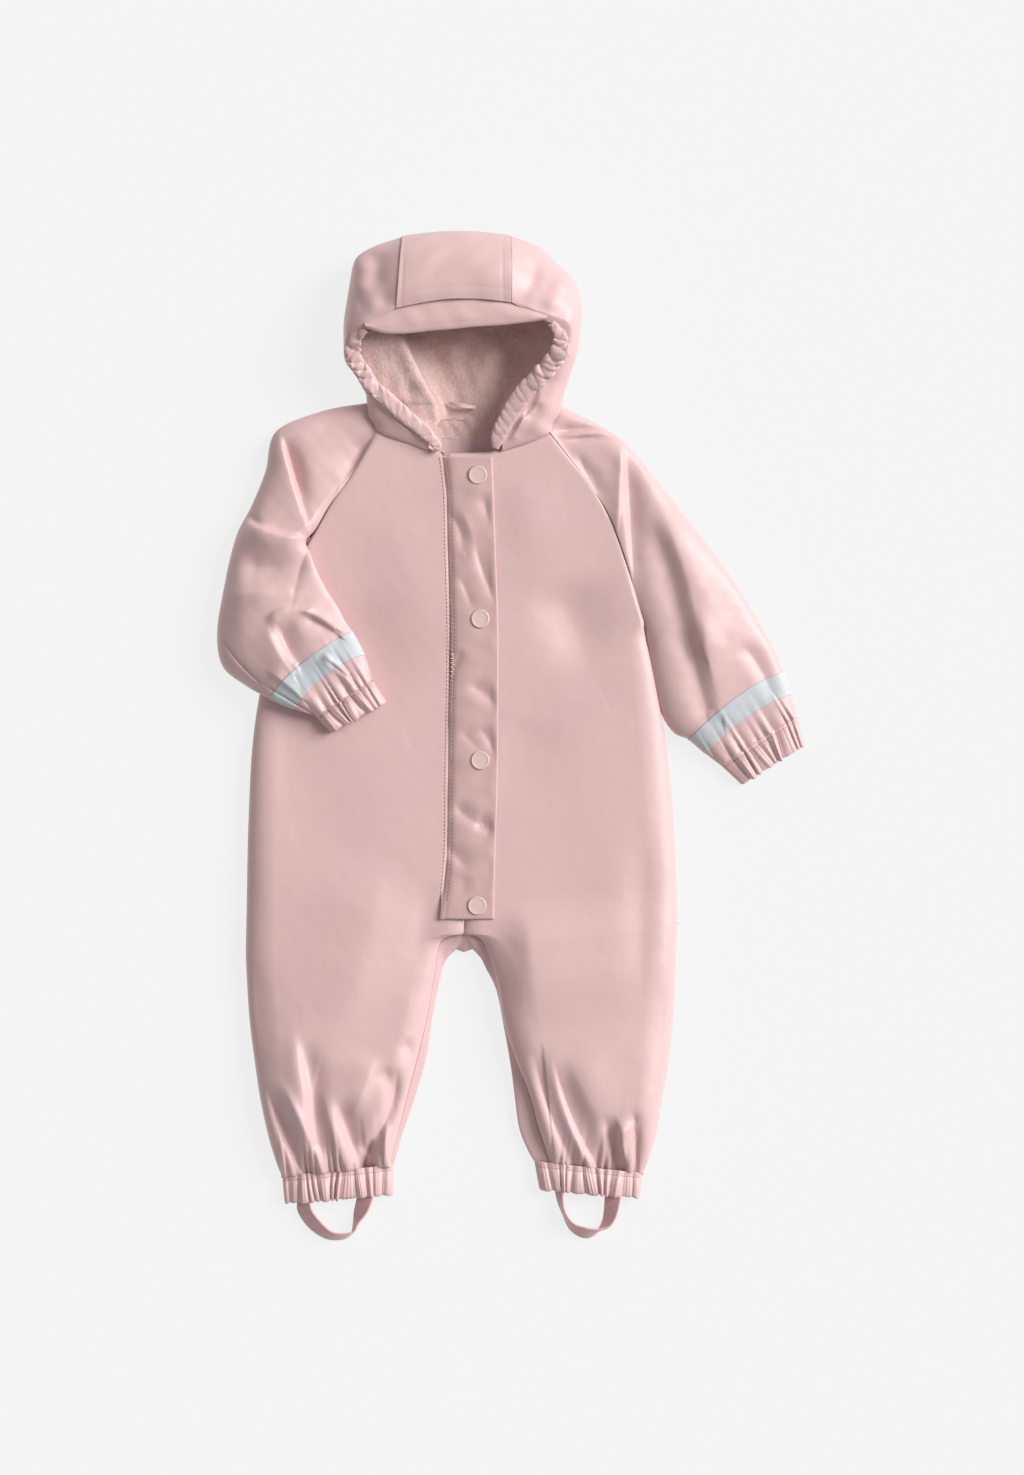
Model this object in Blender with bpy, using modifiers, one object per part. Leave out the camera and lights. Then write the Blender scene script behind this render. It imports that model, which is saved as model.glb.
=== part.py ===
"""A toddler's one-piece puddle suit of coated fabric, laid flat on its back.

Plan sizes are in millimetres from the middle of the laid-out suit: +X to the wearer's
left, +Y towards the hood. Z is the height above the surface that the suit lies on.
Each piece of cloth is a grid of points on its outer face, with its wall grown inwards.
"""
import math
from collections import namedtuple

import bmesh
import bpy
import numpy as np

MM = 0.001
WALL = 1.4            # coated fabric with its turnings
FLEECE = 1.8          # hood lining
DOUBLE = 2.2          # two layers sewn together: flap and peak
SEAM = 0.4            # between two pieces sewn edge to edge
SIDE_SEAM = 0.7       # where a front and a back curl up and down to each other
HAIR = 0.3            # from a curled edge to the next point in from it
CUFF_WALL = 2.0       # casing with its elastic
TAPE_GAP = 0.8
TAPE = 1.0
FLOOR_LIFT = 1.9      # sleeves lie this high, so that the tape round them is on the floor

SNAP_RADIUS = 7.5
SNAP_HEIGHT = 2.2
SNAP_GAP = 0.35

PINK = (0.72, 0.50, 0.49)
ROSE = (0.66, 0.42, 0.44)
SILVER = (0.52, 0.56, 0.58)
NAP = (0.58, 0.39, 0.37)

# ---------------------------------------------------------------- tables
# One row for each section of a front and its leg, from the neck to the ankle: the outer end
# is on the raglan seam and then the side seam, the inner end on the opening and the inseam.
# A roll is how wide the cloth curls down to that end; bow drops the middle of the row.
Front = namedtuple("Front", "outer_x outer_y outer_z outer_roll "
                            "inner_x inner_y inner_z inner_roll puff bow")
FRONT_RIGHT = [
    Front(-108.0, 242, 15, 20, -57.2, 224, 17, 12, 17.5, 0),
    Front(-126.0, 211, 15, 20, -53.4, 194, 18, 12, 18.0, 0),
    Front(-142.0, 188, 14, 20, -52.4, 160, 18, 12, 18.0, 0),
    Front(-157.5, 161, 13, 20, -51.4, 125, 18, 12, 17.5, 0),
    Front(-175.0, 132, 8, 24, -50.4, 90, 18, 12, 17.0, 0),
    Front(-190.0, 93, 7, 30, -50.4, 60, 18, 12, 16.5, 0),
    Front(-201.0, 40, 7, 28, -51.4, 20, 18, 12, 17.0, 0),
    Front(-208.0, -10, 7, 24, -52.4, -30, 18, 12, 18.5, 0),
    Front(-211.0, -70, 7, 24, -52.6, -85, 18, 12, 19.5, 0),
    Front(-212.0, -114, 7, 24, -53.0, -128, 17, 12, 20.0, 0),
    Front(-212.4, -138, 7, 24, -38.8, -146, 15, 14, 20.0, 0),
    Front(-212.7, -152, 7, 24, -38.6, -157.6, 14, 16, 20.0, 0),
    Front(-212.9, -163, 7, 24, -47.0, -159.4, 13, 16, 20.0, 0),
    Front(-213.0, -176, 7, 24, -57.0, -165.5, 12, 18, 20.0, 0),
    Front(-212.0, -198, 7, 24, -61.0, -188, 11, 20, 20.5, 0),
    Front(-210.0, -228, 7, 24, -67.0, -222, 10, 20, 21.0, 0),
    Front(-206.0, -260, 7, 22, -75.0, -256, 10, 20, 21.5, 0),
    Front(-201.2, -292, 7, 20, -84.0, -290, 10, 18, 22.0, 0),
    Front(-194.6, -322, 7, 18, -91.0, -318, 9, 16, 21.0, 0),
    Front(-188.4, -342, 7, 14, -95.5, -335, 9, 14, 17.5, 0),
    Front(-184.0, -352.6, 7, 10, -96.5, -344.0, 8, 10, 12.5, 0),
]
FRONT_LEFT = [
    Front(31.0, 241, 15, 20, -50.0, 224, 16, 12, 17.5, 6),
    Front(47.0, 220, 15, 20, -47.0, 194, 17, 12, 18.0, 2),
    Front(62.0, 201, 15, 20, -46.0, 160, 17, 12, 18.0, 0),
    Front(78.0, 174, 14, 20, -45.0, 125, 17, 12, 17.5, 0),
    Front(91.0, 138, 12, 20, -44.5, 90, 17, 12, 17.0, 0),
    Front(99.0, 106, 11, 14, -44.5, 60, 17, 12, 16.5, 0),
    Front(109.0, 72, 11, 16, -45.0, 20, 17, 12, 17.0, 0),
    Front(119.0, 24, 9, 20, -46.0, -30, 17, 12, 18.0, 0),
    Front(126.0, -20, 7, 24, -47.0, -75, 17, 12, 19.0, 0),
    Front(131.0, -90, 7, 24, -48.0, -122, 17, 12, 20.0, 0),
    Front(132.6, -134, 7, 24, -37.8, -146, 15, 14, 20.0, 0),
    Front(133.0, -150, 7, 24, -38.0, -157.6, 14, 16, 20.0, 0),
    Front(132.6, -162, 7, 24, -30.0, -159.4, 13, 16, 20.0, 0),
    Front(132.0, -176, 7, 24, -22.0, -166.5, 12, 18, 20.0, 0),
    Front(131.0, -200, 7, 24, -12.0, -195, 11, 20, 20.5, 0),
    Front(129.5, -230, 7, 24, -6.0, -228, 10, 20, 21.0, 0),
    Front(126.0, -260, 7, 22, 3.0, -258, 10, 20, 21.5, 0),
    Front(121.0, -290, 7, 20, 14.0, -286, 10, 18, 22.0, 0),
    Front(115.5, -320, 7, 18, 21.0, -312, 9, 16, 21.0, 0),
    Front(109.5, -340, 7, 14, 27.0, -330, 9, 14, 17.5, 0),
    Front(105.0, -350.4, 7, 10, 30.0, -341.5, 8, 10, 12.5, 0),
]

# The back of the same half: the outer end meets the front at the side seam, the edge is the
# folded outline between the legs, and the inner end is the centre back, then the inseam.
Back = namedtuple("Back", "outer_x outer_y outer_z edge_x edge_y edge_z "
                          "inner_x inner_y inner_z")
BACK_RIGHT = [
    Back(-108.0, 242, 0, -50.0, 260, 0, -38.6, 260, 0),
    Back(-126.0, 211, 0, -50.0, 211, 0, -38.6, 211, 0),
    Back(-157.5, 161, 0, -50.0, 161, 0, -38.6, 161, 0),
    Back(-175.0, 132, 3, -50.0, 125, 0, -38.6, 125, 0),
    Back(-190.0, 93, 7, -50.0, 85, 0, -38.6, 85, 0),
    Back(-201.0, 40, 7, -50.0, 35, 0, -38.6, 35, 0),
    Back(-208.0, -10, 7, -50.0, -15, 0, -38.6, -15, 0),
    Back(-211.0, -70, 7, -50.0, -70, 0, -38.6, -70, 0),
    Back(-212.0, -120, 7, -50.0, -120, 0, -38.6, -120, 0),
    Back(-212.6, -148, 7, -50.0, -150, 0, -38.6, -152, 0),
    Back(-212.8, -154, 7, -49.0, -164, 0, -38.6, -166, 0),
    Back(-212.9, -160, 7, -47.0, -170, 2, -38.6, -173, 5),
    Back(-213.0, -166, 7, -48.0, -174, 5, -38.6, -157.6, 14),
    Back(-213.0, -171, 7, -51.5, -178, 6, -47.0, -159.4, 13),
    Back(-213.0, -176, 7, -54.5, -184, 6, -57.0, -165.5, 12),
    Back(-212.0, -198, 7, -58.0, -198, 6, -61.0, -188, 11),
    Back(-210.0, -228, 7, -63.5, -226, 6, -67.0, -222, 10),
    Back(-206.0, -260, 7, -68.4, -258, 6, -75.0, -256, 10),
    Back(-201.2, -292, 7, -77.8, -291, 6, -84.0, -290, 10),
    Back(-194.6, -322, 7, -87.4, -319, 6, -91.0, -318, 9),
    Back(-188.4, -342, 7, -92.5, -337, 6, -95.5, -335, 9),
    Back(-184.0, -352.6, 7, -95.0, -344.6, 5, -96.5, -344, 8),
]
BACK_LEFT = [
    Back(31.0, 242, 0, -26.0, 260, 0, -38.0, 260, 0),
    Back(54.0, 211, 0, -26.0, 211, 0, -38.0, 211, 0),
    Back(78.0, 174, 0, -26.0, 168, 0, -38.0, 168, 0),
    Back(91.0, 138, 3, -26.0, 130, 0, -38.0, 130, 0),
    Back(101.0, 98, 7, -26.0, 90, 0, -38.0, 90, 0),
    Back(111.0, 60, 8, -26.0, 50, 0, -38.0, 50, 0),
    Back(119.5, 20, 8, -26.0, 10, 0, -38.0, 10, 0),
    Back(127.0, -30, 7, -26.0, -35, 0, -38.0, -35, 0),
    Back(131.5, -95, 7, -26.0, -98, 0, -38.0, -98, 0),
    Back(133.0, -145, 7, -26.0, -150, 0, -38.0, -152, 0),
    Back(133.0, -150, 7, -27.0, -164, 0, -38.0, -166, 0),
    Back(132.8, -157, 7, -29.0, -170, 2, -38.0, -173, 5),
    Back(132.6, -163, 7, -28.0, -174, 5, -38.0, -157.6, 14),
    Back(132.3, -169, 7, -24.5, -178, 6, -30.0, -159.4, 13),
    Back(132.0, -176, 7, -21.0, -185, 6, -22.0, -166.5, 12),
    Back(131.0, -200, 7, -12.0, -204, 6, -12.0, -195, 11),
    Back(129.5, -230, 7, -6.0, -234, 6, -6.0, -228, 10),
    Back(126.0, -260, 7, -1.0, -262, 6, 3.0, -258, 10),
    Back(121.0, -290, 7, 2.6, -288, 6, 14.0, -286, 10),
    Back(115.5, -320, 7, 6.4, -314, 6, 21.0, -312, 9),
    Back(109.5, -340, 7, 13.4, -332, 6, 27.0, -330, 9),
    Back(105.0, -350.4, 7, 18.4, -340.8, 5, 30.0, -341.5, 8),
]

# Sections of a sleeve from the neck to the cuff, from its inner to its outer fold. Where it
# is sewn to the body its inner end is open: seam_z on top, and under_z below.
Arm = namedtuple("Arm", "inner_x inner_y outer_x outer_y seam_z under_z edge_z puff roll")
SLEEVE_LEFT = [
    Arm(32.0, 242.5, 41.8, 264, 15, 1.3, 7, 15, 10),
    Arm(48.2, 221.2, 66, 252, 15, 1.3, 7, 16, 14),
    Arm(62.8, 201.6, 92, 235, 15, 1.3, 7, 18, 18),
    Arm(79.0, 174.6, 117, 205, 14, 1.3, 7, 19, 22),
    Arm(92.2, 138.6, 140, 176, 10, 2.0, 7, 19, 26),
    Arm(100.6, 106.6, 161, 149, 7, 4.0, 7, 19, 28),
    Arm(112.0, 70.0, 181, 121, 6, 5.0, 7, 19, 28),
    Arm(124.0, 28.0, 196, 96, 6, 5.0, 7, 18, 26),
    Arm(136.0, 2.0, 209, 73, 6, 5.0, 7, 17, 22),
    Arm(143.0, -3.0, 218.5, 50, 6, 5.0, 7, 16, 18),
    Arm(156.5, -14.5, 224.5, 32, 6, 5.0, 7, 14, 16),
    Arm(168.0, -23.0, 228.5, 16.5, 6, 5.0, 7, 11.5, 10),
]
SLEEVE_RIGHT = [
    Arm(-108.6, 243.0, -119.5, 267, 15, 1.3, 7, 15, 10),
    Arm(-120.0, 222.6, -153, 260.6, 15, 1.3, 7, 17, 16),
    Arm(-132.6, 202.0, -189, 244.4, 15, 1.3, 7, 20, 20),
    Arm(-145.6, 184.6, -197.6, 212, 14, 1.3, 7, 23, 24),
    Arm(-156.4, 166.0, -209, 184, 15, 1.3, 7, 26, 26),
    Arm(-164.0, 155.8, -218.6, 166, 18, 8.0, 8, 28, 26),
    Arm(-160.0, 145.0, -224.4, 148, 22, 20, 8, 29, 26),
    Arm(-154.0, 130.0, -230, 122, 22, 20, 9, 31, 26),
    Arm(-146.0, 115.0, -236, 84, 22, 20, 9, 32, 26),
    Arm(-138.0, 103.0, -232, 57, 22, 20, 9, 32, 26),
    Arm(-133.0, 93.0, -215, 42, 22, 20, 10, 32, 24),
    Arm(-127.0, 84.0, -193, 30, 22, 20, 12, 32, 22),
    Arm(-117.0, 65.0, -174, 22, 22, 20, 14, 31, 18),
    Arm(-111.0, 45.0, -156, 16, 22, 20, 17, 28.5, 10),
]
TAPE_ROWS = {"left": (8.9, 9.9), "right": (11.0, 12.0)}
TAPE_BOW = 0.3        # of a row, by which its middle lies nearer the shoulder
# The right sleeve is folded over the chest from this row on.
ON_BODY_FROM = 4.9
ON_BODY_OVER = 1.0
ON_BODY_THICK = 11.0

# Gathered cuffs: the seam's two ends, then the free edge's two ends.
Cuff = namedtuple("Cuff", "seam_ax seam_ay seam_bx seam_by edge_ax edge_ay edge_bx edge_by "
                          "low high gathers")
CUFFS = {
    "cuff_ankle_right": Cuff(-183.8, -354.2, -94.5, -345.6, -182, -374.5, -94.5, -367, 0, 15, 13),
    "cuff_ankle_left": Cuff(18.6, -342.4, 105, -352.0, 22, -363.5, 103, -370, 0, 15, 11),
    "cuff_wrist_left": Cuff(168.4, -23.6, 229, 16.0, 184.5, -39.0, 235.4, -6.5, 0.3, 13, 9),
    "cuff_wrist_right": Cuff(-155.8, 15.4, -110.8, 44.4, -144.5, 3.0, -99.5, 27.5, 19, 31, 7),
}

# The storm flap: its sewn edge, its free edge and how high it lies.
Flap = namedtuple("Flap", "sewn_x free_x y z")
FLAP = [
    Flap(-56.0, -15.3, 223.5, 20.0),
    Flap(-52.6, -14.3, 194, 20.8),
    Flap(-51.6, -12.6, 149, 20.8),
    Flap(-50.2, -11.0, 106, 20.4),
    Flap(-49.8, -10.4, 77, 20.2),
    Flap(-50.6, -10.6, 20, 20.6),
    Flap(-51.6, -11.0, -35, 21.4),
    Flap(-52.4, -13.0, -96, 22.6),
    Flap(-57.4, -14.2, -146, 22.8),
]
Snap = namedtuple("Snap", "x y")
SNAPS = [Snap(-27, 209), Snap(-25, 94), Snap(-25, -19), Snap(-27.5, -135)]
ZIP_IN = 1.2          # from the right front's edge to the zip
ZIP_WIDTH = 3.8
ZIP_DOWN = 1.2
ZIP_DEPTH = 2.0
ZIP_TOP_Y = 227.5

# The hood's middle strip, from its front hem over the crown and under to the neck.
Strip = namedtuple("Strip", "left_x left_y right_x right_y z bow")
HOOD_CENTRE = [
    Strip(-91.6, 338.6, -0.4, 343.2, 55.0, 5),
    Strip(-90.4, 352, -0.2, 355, 56.5, 5),
    Strip(-89.2, 368, -0.2, 370, 54.0, 4),
    Strip(-88.0, 384, -0.6, 385, 46.0, 3),
    Strip(-87.2, 395, -1.0, 395.5, 34.0, 3),
    Strip(-87.0, 399, -1.0, 399.5, 20.0, 3.5),
    Strip(-87.4, 395, -0.6, 395.5, 6.5, 3),
    Strip(-89.0, 386, 1.0, 387, 0.6, 2),
    Strip(-97.0, 376, 11.5, 376, 0, 0),
    Strip(-104.0, 364, 20.5, 364, 0, 0),
    Strip(-111.0, 346, 31.0, 346, 0, 0),
    Strip(-113.0, 328, 33.0, 328, 0, 0),
    Strip(-112.5, 312, 32.5, 312, 0, 0),
    Strip(-110.5, 298, 31.0, 298, 0, 1),
    Strip(-109.5, 288, 31.0, 288, 0, 1),
    Strip(-108.0, 272, 31.0, 272, 0, 3),
    Strip(-106.0, 256, 30.0, 256, 0, 9),
    Strip(-104.0, 246, 27.0, 246, 0, 0),
]
CROWN_ROWS = 7        # the strip's rows down to where it turns under
BACK_NECK_X, BACK_NECK_Y = -38.3, 260.8       # its last row runs along the top of the backs
BACK_NECK_FLAT, BACK_NECK_SLOPE = 12.5, 0.315
NECK_TURN = (0, 1.2, -2.0)                    # how a hood side turns in at the neck seam

# A hood side, from the centre seam round to the neck: its rim, and the outline where it folds
# under or meets the neck seam. Below, its rows end on the strip's rows, while there are any.
Side = namedtuple("Side", "rim_x rim_y rim_z fold_x fold_y fold_z")
HOOD_RIGHT = [
    Side(-99, 335.4, 54.5, -110.5, 391, 20),
    Side(-108, 331, 53.5, -124.5, 381, 20),
    Side(-117.5, 327, 51, -129.4, 360, 20),
    Side(-129.0, 320, 44, -133.6, 334, 19),
    Side(-132.3, 309, 37, -134.0, 313, 18),
    Side(-131.0, 298, 33, -132.6, 299, 17),
    Side(-122.0, 284, 31, -123.6, 288, 15),
    Side(-116.0, 274, 29, -116.8, 275, 14),
    Side(-104.0, 263, 27, -113.8, 255.4, 15),
    Side(-92.0, 252, 25.5, -106.8, 243.4, 16),
    Side(-78.0, 242.5, 23.5, -82.0, 233.8, 17),
    Side(-66.0, 234.5, 21.0, -66.0, 228.2, 18),
]
HOOD_LEFT = [
    Side(8, 341, 54.5, 21, 391.5, 20),
    Side(19, 337, 54, 38, 376.5, 20),
    Side(32, 333, 52, 51.5, 362, 20),
    Side(45, 327, 48, 56.0, 346, 20),
    Side(47.5, 316, 43, 55.5, 328, 19),
    Side(43.0, 300, 39, 52.5, 307, 18),
    Side(34.0, 288, 36, 48, 292, 16),
    Side(25.0, 280, 33, 43, 277, 15),
    Side(16.0, 268, 30, 37.6, 257, 15),
    Side(8.5, 257, 27.5, 30.8, 243.4, 16),
    Side(1.0, 244, 24.5, 16.0, 235.6, 17),
    Side(-7.5, 233, 21.5, -8.0, 227.8, 18),
]

# The gathered casing of the hood's rim: its middle line, its width and thickness.
Rim = namedtuple("Rim", "x y z width thick")
RIM_RIGHT = [
    Rim(-115.5, 322.0, 49.0, 5, 3.5),
    Rim(-124.0, 314.5, 43.0, 10, 5),
    Rim(-125.5, 303, 37.0, 12, 6),
    Rim(-118.0, 290, 33.0, 12, 6),
    Rim(-109.0, 277, 31.0, 12, 6),
    Rim(-96.0, 266, 29.0, 12, 6),
    Rim(-84.0, 255, 27.0, 12, 6),
    Rim(-71.5, 245, 25.0, 11, 6),
    Rim(-60.8, 234, 22.5, 8, 5),
    Rim(-58.6, 228, 21.0, 5, 4),
]
RIM_LEFT = [
    Rim(31.0, 327.0, 49.5, 5, 3.5),
    Rim(38.0, 319, 45.5, 10, 5),
    Rim(38.5, 308, 42.0, 14, 6),
    Rim(31.5, 296, 39.0, 15, 6),
    Rim(22.0, 286, 36.0, 15, 6),
    Rim(12.5, 277, 33.0, 15, 6),
    Rim(4.0, 266, 30.0, 15, 6),
    Rim(-3.0, 254, 27.0, 14, 6),
    Rim(-10.0, 241, 24.0, 12, 6),
    Rim(-13.0, 230, 21.5, 6, 4),
]
RIM_GATHERS = {"right": 14, "left": 15}
GATHER_HEIGHT = 0.09   # of the casing's size
GATHER_WAVE = 1.3      # half the height of a cuff's gathers

# The peak: its sewn edge and its free edge.
Peak = namedtuple("Peak", "sewn_x sewn_y free_x free_y sewn_z free_z")
PEAK = [
    Peak(-116.5, 325.0, -115.6, 323.8, 52.8, 52.6),
    Peak(-106.0, 331.2, -101.5, 319.4, 53.6, 52.0),
    Peak(-92.0, 337.4, -84.0, 319.0, 54.4, 51.6),
    Peak(-69.0, 342.8, -65.0, 321.0, 55.0, 51.4),
    Peak(-45.0, 345.0, -47.0, 322.4, 55.4, 51.4),
    Peak(-24.0, 344.6, -30.0, 324.2, 55.2, 51.6),
    Peak(-1.0, 342.2, -10.0, 325.4, 54.6, 52.0),
    Peak(16.0, 336.6, 9.0, 327.4, 53.8, 52.4),
    Peak(28.4, 331.0, 27.4, 329.8, 53.0, 52.8),
]

# The fleece inside the hood: across each row it comes in from the rim, drops over a soft
# fold, crosses the floor and climbs the other wall.
Lining = namedtuple("Lining", "y floor_z left_x left_z fold_x fold_z floor_left floor_right "
                              "right_x right_z")
LINING = [
    Lining(387, 34, -82, 36, -78, 35, -70, -18, -6, 36),
    Lining(391, 20, -84, 22, -78, 21, -70, -18, -4, 22),
    Lining(386, 7.5, -84, 12, -78, 9, -70, -16, -2, 12),
    Lining(372, 4.2, -96, 20, -88, 14, -76, -8, 12, 20),
    Lining(352, 4.2, -108, 34, -95, 26, -80, 2, 27, 34),
    Lining(334, 4.2, -112, 40, -92, 31, -84, 8, 32, 40),
    Lining(318, 4.2, -113, 38, -87, 31, -79, 8, 30, 40),
    Lining(303, 4.2, -112, 33, -80, 29, -73, 6, 25, 36),
    Lining(290, 4.2, -108, 29, -74, 27, -67, 3, 17, 32),
    Lining(278, 4.2, -99, 27, -67.5, 25, -61, -3, 7, 29),
    Lining(268, 4.2, -88, 25, -61, 23, -55, -8, -1, 26),
    Lining(261, 4.2, -80, 23, -58.6, 20, -52, -11, -5, 23),
]

NECK_LEFT, NECK_RIGHT = -56.5, -12.5
NECK_Z = 3.8
NECK_RISE = 5.0
Hanger = namedtuple("Hanger", "upper_x upper_y upper_z lower_x lower_y lower_z")
HANGER = [
    Hanger(-50, 268.6, 7.0, -49.6, 266.4, 6.8),
    Hanger(-40, 266.8, 10.0, -39.4, 262.9, 11.5),
    Hanger(-28, 264.8, 7.0, -28.4, 262.9, 6.8),
]

STRAP = 1.6
# Straps under the feet: the edge that lies on the floor and the edge that stands up.
Strap = namedtuple("Strap", "floor_x floor_y top_x top_y low high")
STIRRUPS = {
    "stirrup_right": [
        Strap(-171, -369, -160, -367, 3.6, 10.5), Strap(-172, -380.5, -160, -378, 2.0, 12),
        Strap(-163.4, -394, -153, -388, 0.2, 13), Strap(-150, -403, -144.5, -396, 0.2, 13),
        Strap(-137, -404, -136.0, -398, 0.2, 13), Strap(-129, -400, -126.5, -396.5, 0.2, 13),
        Strap(-127, -391, -122.5, -390, 0.2, 13), Strap(-126.5, -381, -114.5, -380, 2.0, 12),
        Strap(-123, -365, -108, -363, 3.6, 10.5),
    ],
    "stirrup_left": [
        Strap(34, -359, 42, -360, 3.6, 10.5), Strap(37, -373, 41.5, -373, 2.0, 12),
        Strap(41, -383, 43.5, -382, 0.2, 13), Strap(47, -396, 49.5, -389.5, 0.2, 13),
        Strap(57, -402.6, 58.0, -392.6, 0.2, 13), Strap(66, -401, 68.0, -394.5, 0.2, 13),
        Strap(72, -392, 78.0, -393, 0.2, 13), Strap(74, -382, 84.5, -384, 2.0, 12),
        Strap(75, -364, 89, -365, 3.6, 10.5),
    ],
}

# The largest folds: soft troughs (depth below 0: ridges) between two points.
Fold = namedtuple("Fold", "ax ay bx by width depth")
FOLDS_FRONT_RIGHT = [
    Fold(-192, -287, -165, -350, 8, 5.0), Fold(-172, -240, -158, -320, 11, 4.0),
    Fold(-151, -284, -140, -350, 8, 5.0), Fold(-96, -262, -122, -345, 9, 5.0),
    Fold(-182, -270, -176, -350, 8, -3.0), Fold(-160, -300, -152, -350, 7, -3.0),
    Fold(-132, -297, -130, -350, 8, -3.5), Fold(-84, -250, -104, -345, 9, -2.5),
]
FOLDS_FRONT_LEFT = [
    Fold(19, -248, 47, -338, 9, 5.0), Fold(56, -281, 73, -346, 10, 5.5),
    Fold(91, -307, 97, -350, 8, 4.5), Fold(83, -290, 84, -346, 9, -4.0),
    Fold(32, -290, 36, -340, 7, -3.0), Fold(60, -320, 62, -346, 7, -2.5),
    Fold(40, 120, 10, 40, 22, 1.5),
]
FOLDS_SLEEVE_LEFT = [
    Fold(122, 173, 152, 30, 13, 4.0), Fold(97, 232, 96, 120, 7, 3.5),
    Fold(84, 236, 84, 160, 8, -2.5), Fold(40, 238, 71, 246, 5, 2.0),
    Fold(150, 150, 190, 40, 20, -2.0),
]
FOLDS_SLEEVE_RIGHT = [
    Fold(-181, 240, -151, 160, 7, 5.0), Fold(-190, 236, -164, 158, 8, -2.5),
    Fold(-217, 173, -190, 158, 8, 3.0), Fold(-191, 101, -176, 60, 14, -2.0),
    Fold(-205, 100, -196, 60, 12, 2.0),
]
FOLDS_FLAP = [
    Fold(-48, 176, -40, 150, 7, 1.1), Fold(-29, 156, -17, 113, 5, 1.0),
    Fold(-43, 128, -33, 104, 5, 0.8), Fold(-40, 69, -47, 51, 5, 0.8),
    Fold(-34, 39, -14, 28, 6, 1.0), Fold(-41, 4, -27, -8, 5, 0.9),
    Fold(-25, 6, -13, -13, 5, 0.8), Fold(-45, -54, -16, -72, 7, 1.1),
    Fold(-51, -87, -34, -106, 6, 1.0),
]


# ---------------------------------------------------------------- reading tables
def smooth(rows, at):
    """Reads rows of numbers at in-between places, on one smooth curve through them all."""
    rows = np.asarray(rows, float)
    at = np.asarray(at, float)
    last = len(rows) - 1
    first = np.clip(at.astype(int), 0, last - 1)
    step = (at - first).reshape((-1,) + (1,) * (rows.ndim - 1))
    before, here, there, after = (rows[np.clip(first + k, 0, last)] for k in (-1, 0, 1, 2))
    leave, arrive = (there - before) / 2, (after - here) / 2
    bend = 3 * (there - here) - 2 * leave - arrive
    turn = leave + arrive - 2 * (there - here)
    return here + step * (leave + step * (bend + step * turn))


def evenly(points, count):
    """Points spread evenly along the smooth curve through the given ones."""
    fine = smooth(points, np.linspace(0, len(points) - 1, 16 * len(points)))
    length = np.concatenate([[0], np.cumsum(np.linalg.norm(np.diff(fine, axis=0), axis=1))])
    want = np.linspace(0, length[-1], count)
    return np.stack([np.interp(want, length, fine[:, axis]) for axis in range(3)], axis=1)


def crowded(count, reach, pull=0.55):
    """Shares from 0 to 1 across a reach, closer together near both ends.

    The second place is a hair from the end, so that a curled edge starts out upright.
    """
    share = np.linspace(0, 1, count)
    share = share - pull * np.sin(2 * math.pi * share) / (2 * math.pi)
    share[1], share[-2] = HAIR / reach, 1 - HAIR / reach
    return share


def curl(distance, roll):
    """How far cloth has risen, 0 to 1, at a distance from an edge that it curls down to."""
    return np.sqrt(1 - (1 - np.clip(distance / roll, 0, 1)) ** 2)


def folded(points, folds, cover=1):
    """The same points with each fold's soft trough or ridge, or its cover share, in them."""
    points = points.copy()
    flat = points[..., :2]
    for fold in folds:
        start, run = np.array(fold[:2], float), np.array(fold[2:4], float) - fold[:2]
        share = np.clip((flat - start) @ run / (run @ run), 0, 1)
        away = np.linalg.norm(flat - start - share[..., None] * run, axis=-1)
        fade = np.sin(math.pi * (0.1 + 0.8 * share)) ** 0.7
        points[..., 2] -= cover * fold.depth * fade * np.exp(-(away / fold.width) ** 2)
    return points


# ---------------------------------------------------------------- making solids
def colour_of(name, colour, roughness):
    material = bpy.data.materials.new(name)
    material.use_nodes = True
    shader = material.node_tree.nodes["Principled BSDF"]
    shader.inputs["Base Color"].default_value = (*colour, 1)
    shader.inputs["Roughness"].default_value = roughness
    shader.inputs["Metallic"].default_value = 0
    return material


def add_object(name, mesh, colour, roughness):
    mesh.materials.append(colour_of(name, colour, roughness))
    mesh.shade_smooth()
    piece = bpy.data.objects.new(name, mesh)
    SUIT.objects.link(piece)
    return piece


def cloth(name, points, wall, colour=PINK, roughness=0.45, flip=False, ring=False):
    """A wall of cloth whose outer face is a grid of points; a ring joins its two sides."""
    rows, columns = points.shape[:2]
    bm = bmesh.new()
    bmesh.ops.create_grid(bm, x_segments=columns - 1, y_segments=rows - 1, size=1)
    bm.verts.ensure_lookup_table()
    for vert, place in zip(bm.verts, points.reshape(-1, 3) * MM):
        vert.co = place
    if ring:
        bmesh.ops.remove_doubles(bm, verts=bm.verts, dist=0.00001)
    if flip:
        bmesh.ops.reverse_faces(bm, faces=bm.faces)
    mesh = bpy.data.meshes.new(name)
    bm.to_mesh(mesh)
    bm.free()
    piece = add_object(name, mesh, colour, roughness)
    if wall:
        grow = piece.modifiers.new("wall", "SOLIDIFY")
        grow.thickness = wall * MM
        grow.offset = -1
    return piece


def capped_tube(name, points, colour, roughness):
    """A solid roll: a ring of points at each station along it, closed at both ends."""
    piece = cloth(name, points, 0, colour, roughness, ring=True)
    bm = bmesh.new()
    bm.from_mesh(piece.data)
    ends = [edge for edge in bm.edges if edge.is_boundary]
    bmesh.ops.holes_fill(bm, edges=ends, sides=0)
    bmesh.ops.recalc_face_normals(bm, faces=bm.faces)
    bm.to_mesh(piece.data)
    bm.free()
    return piece


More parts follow.
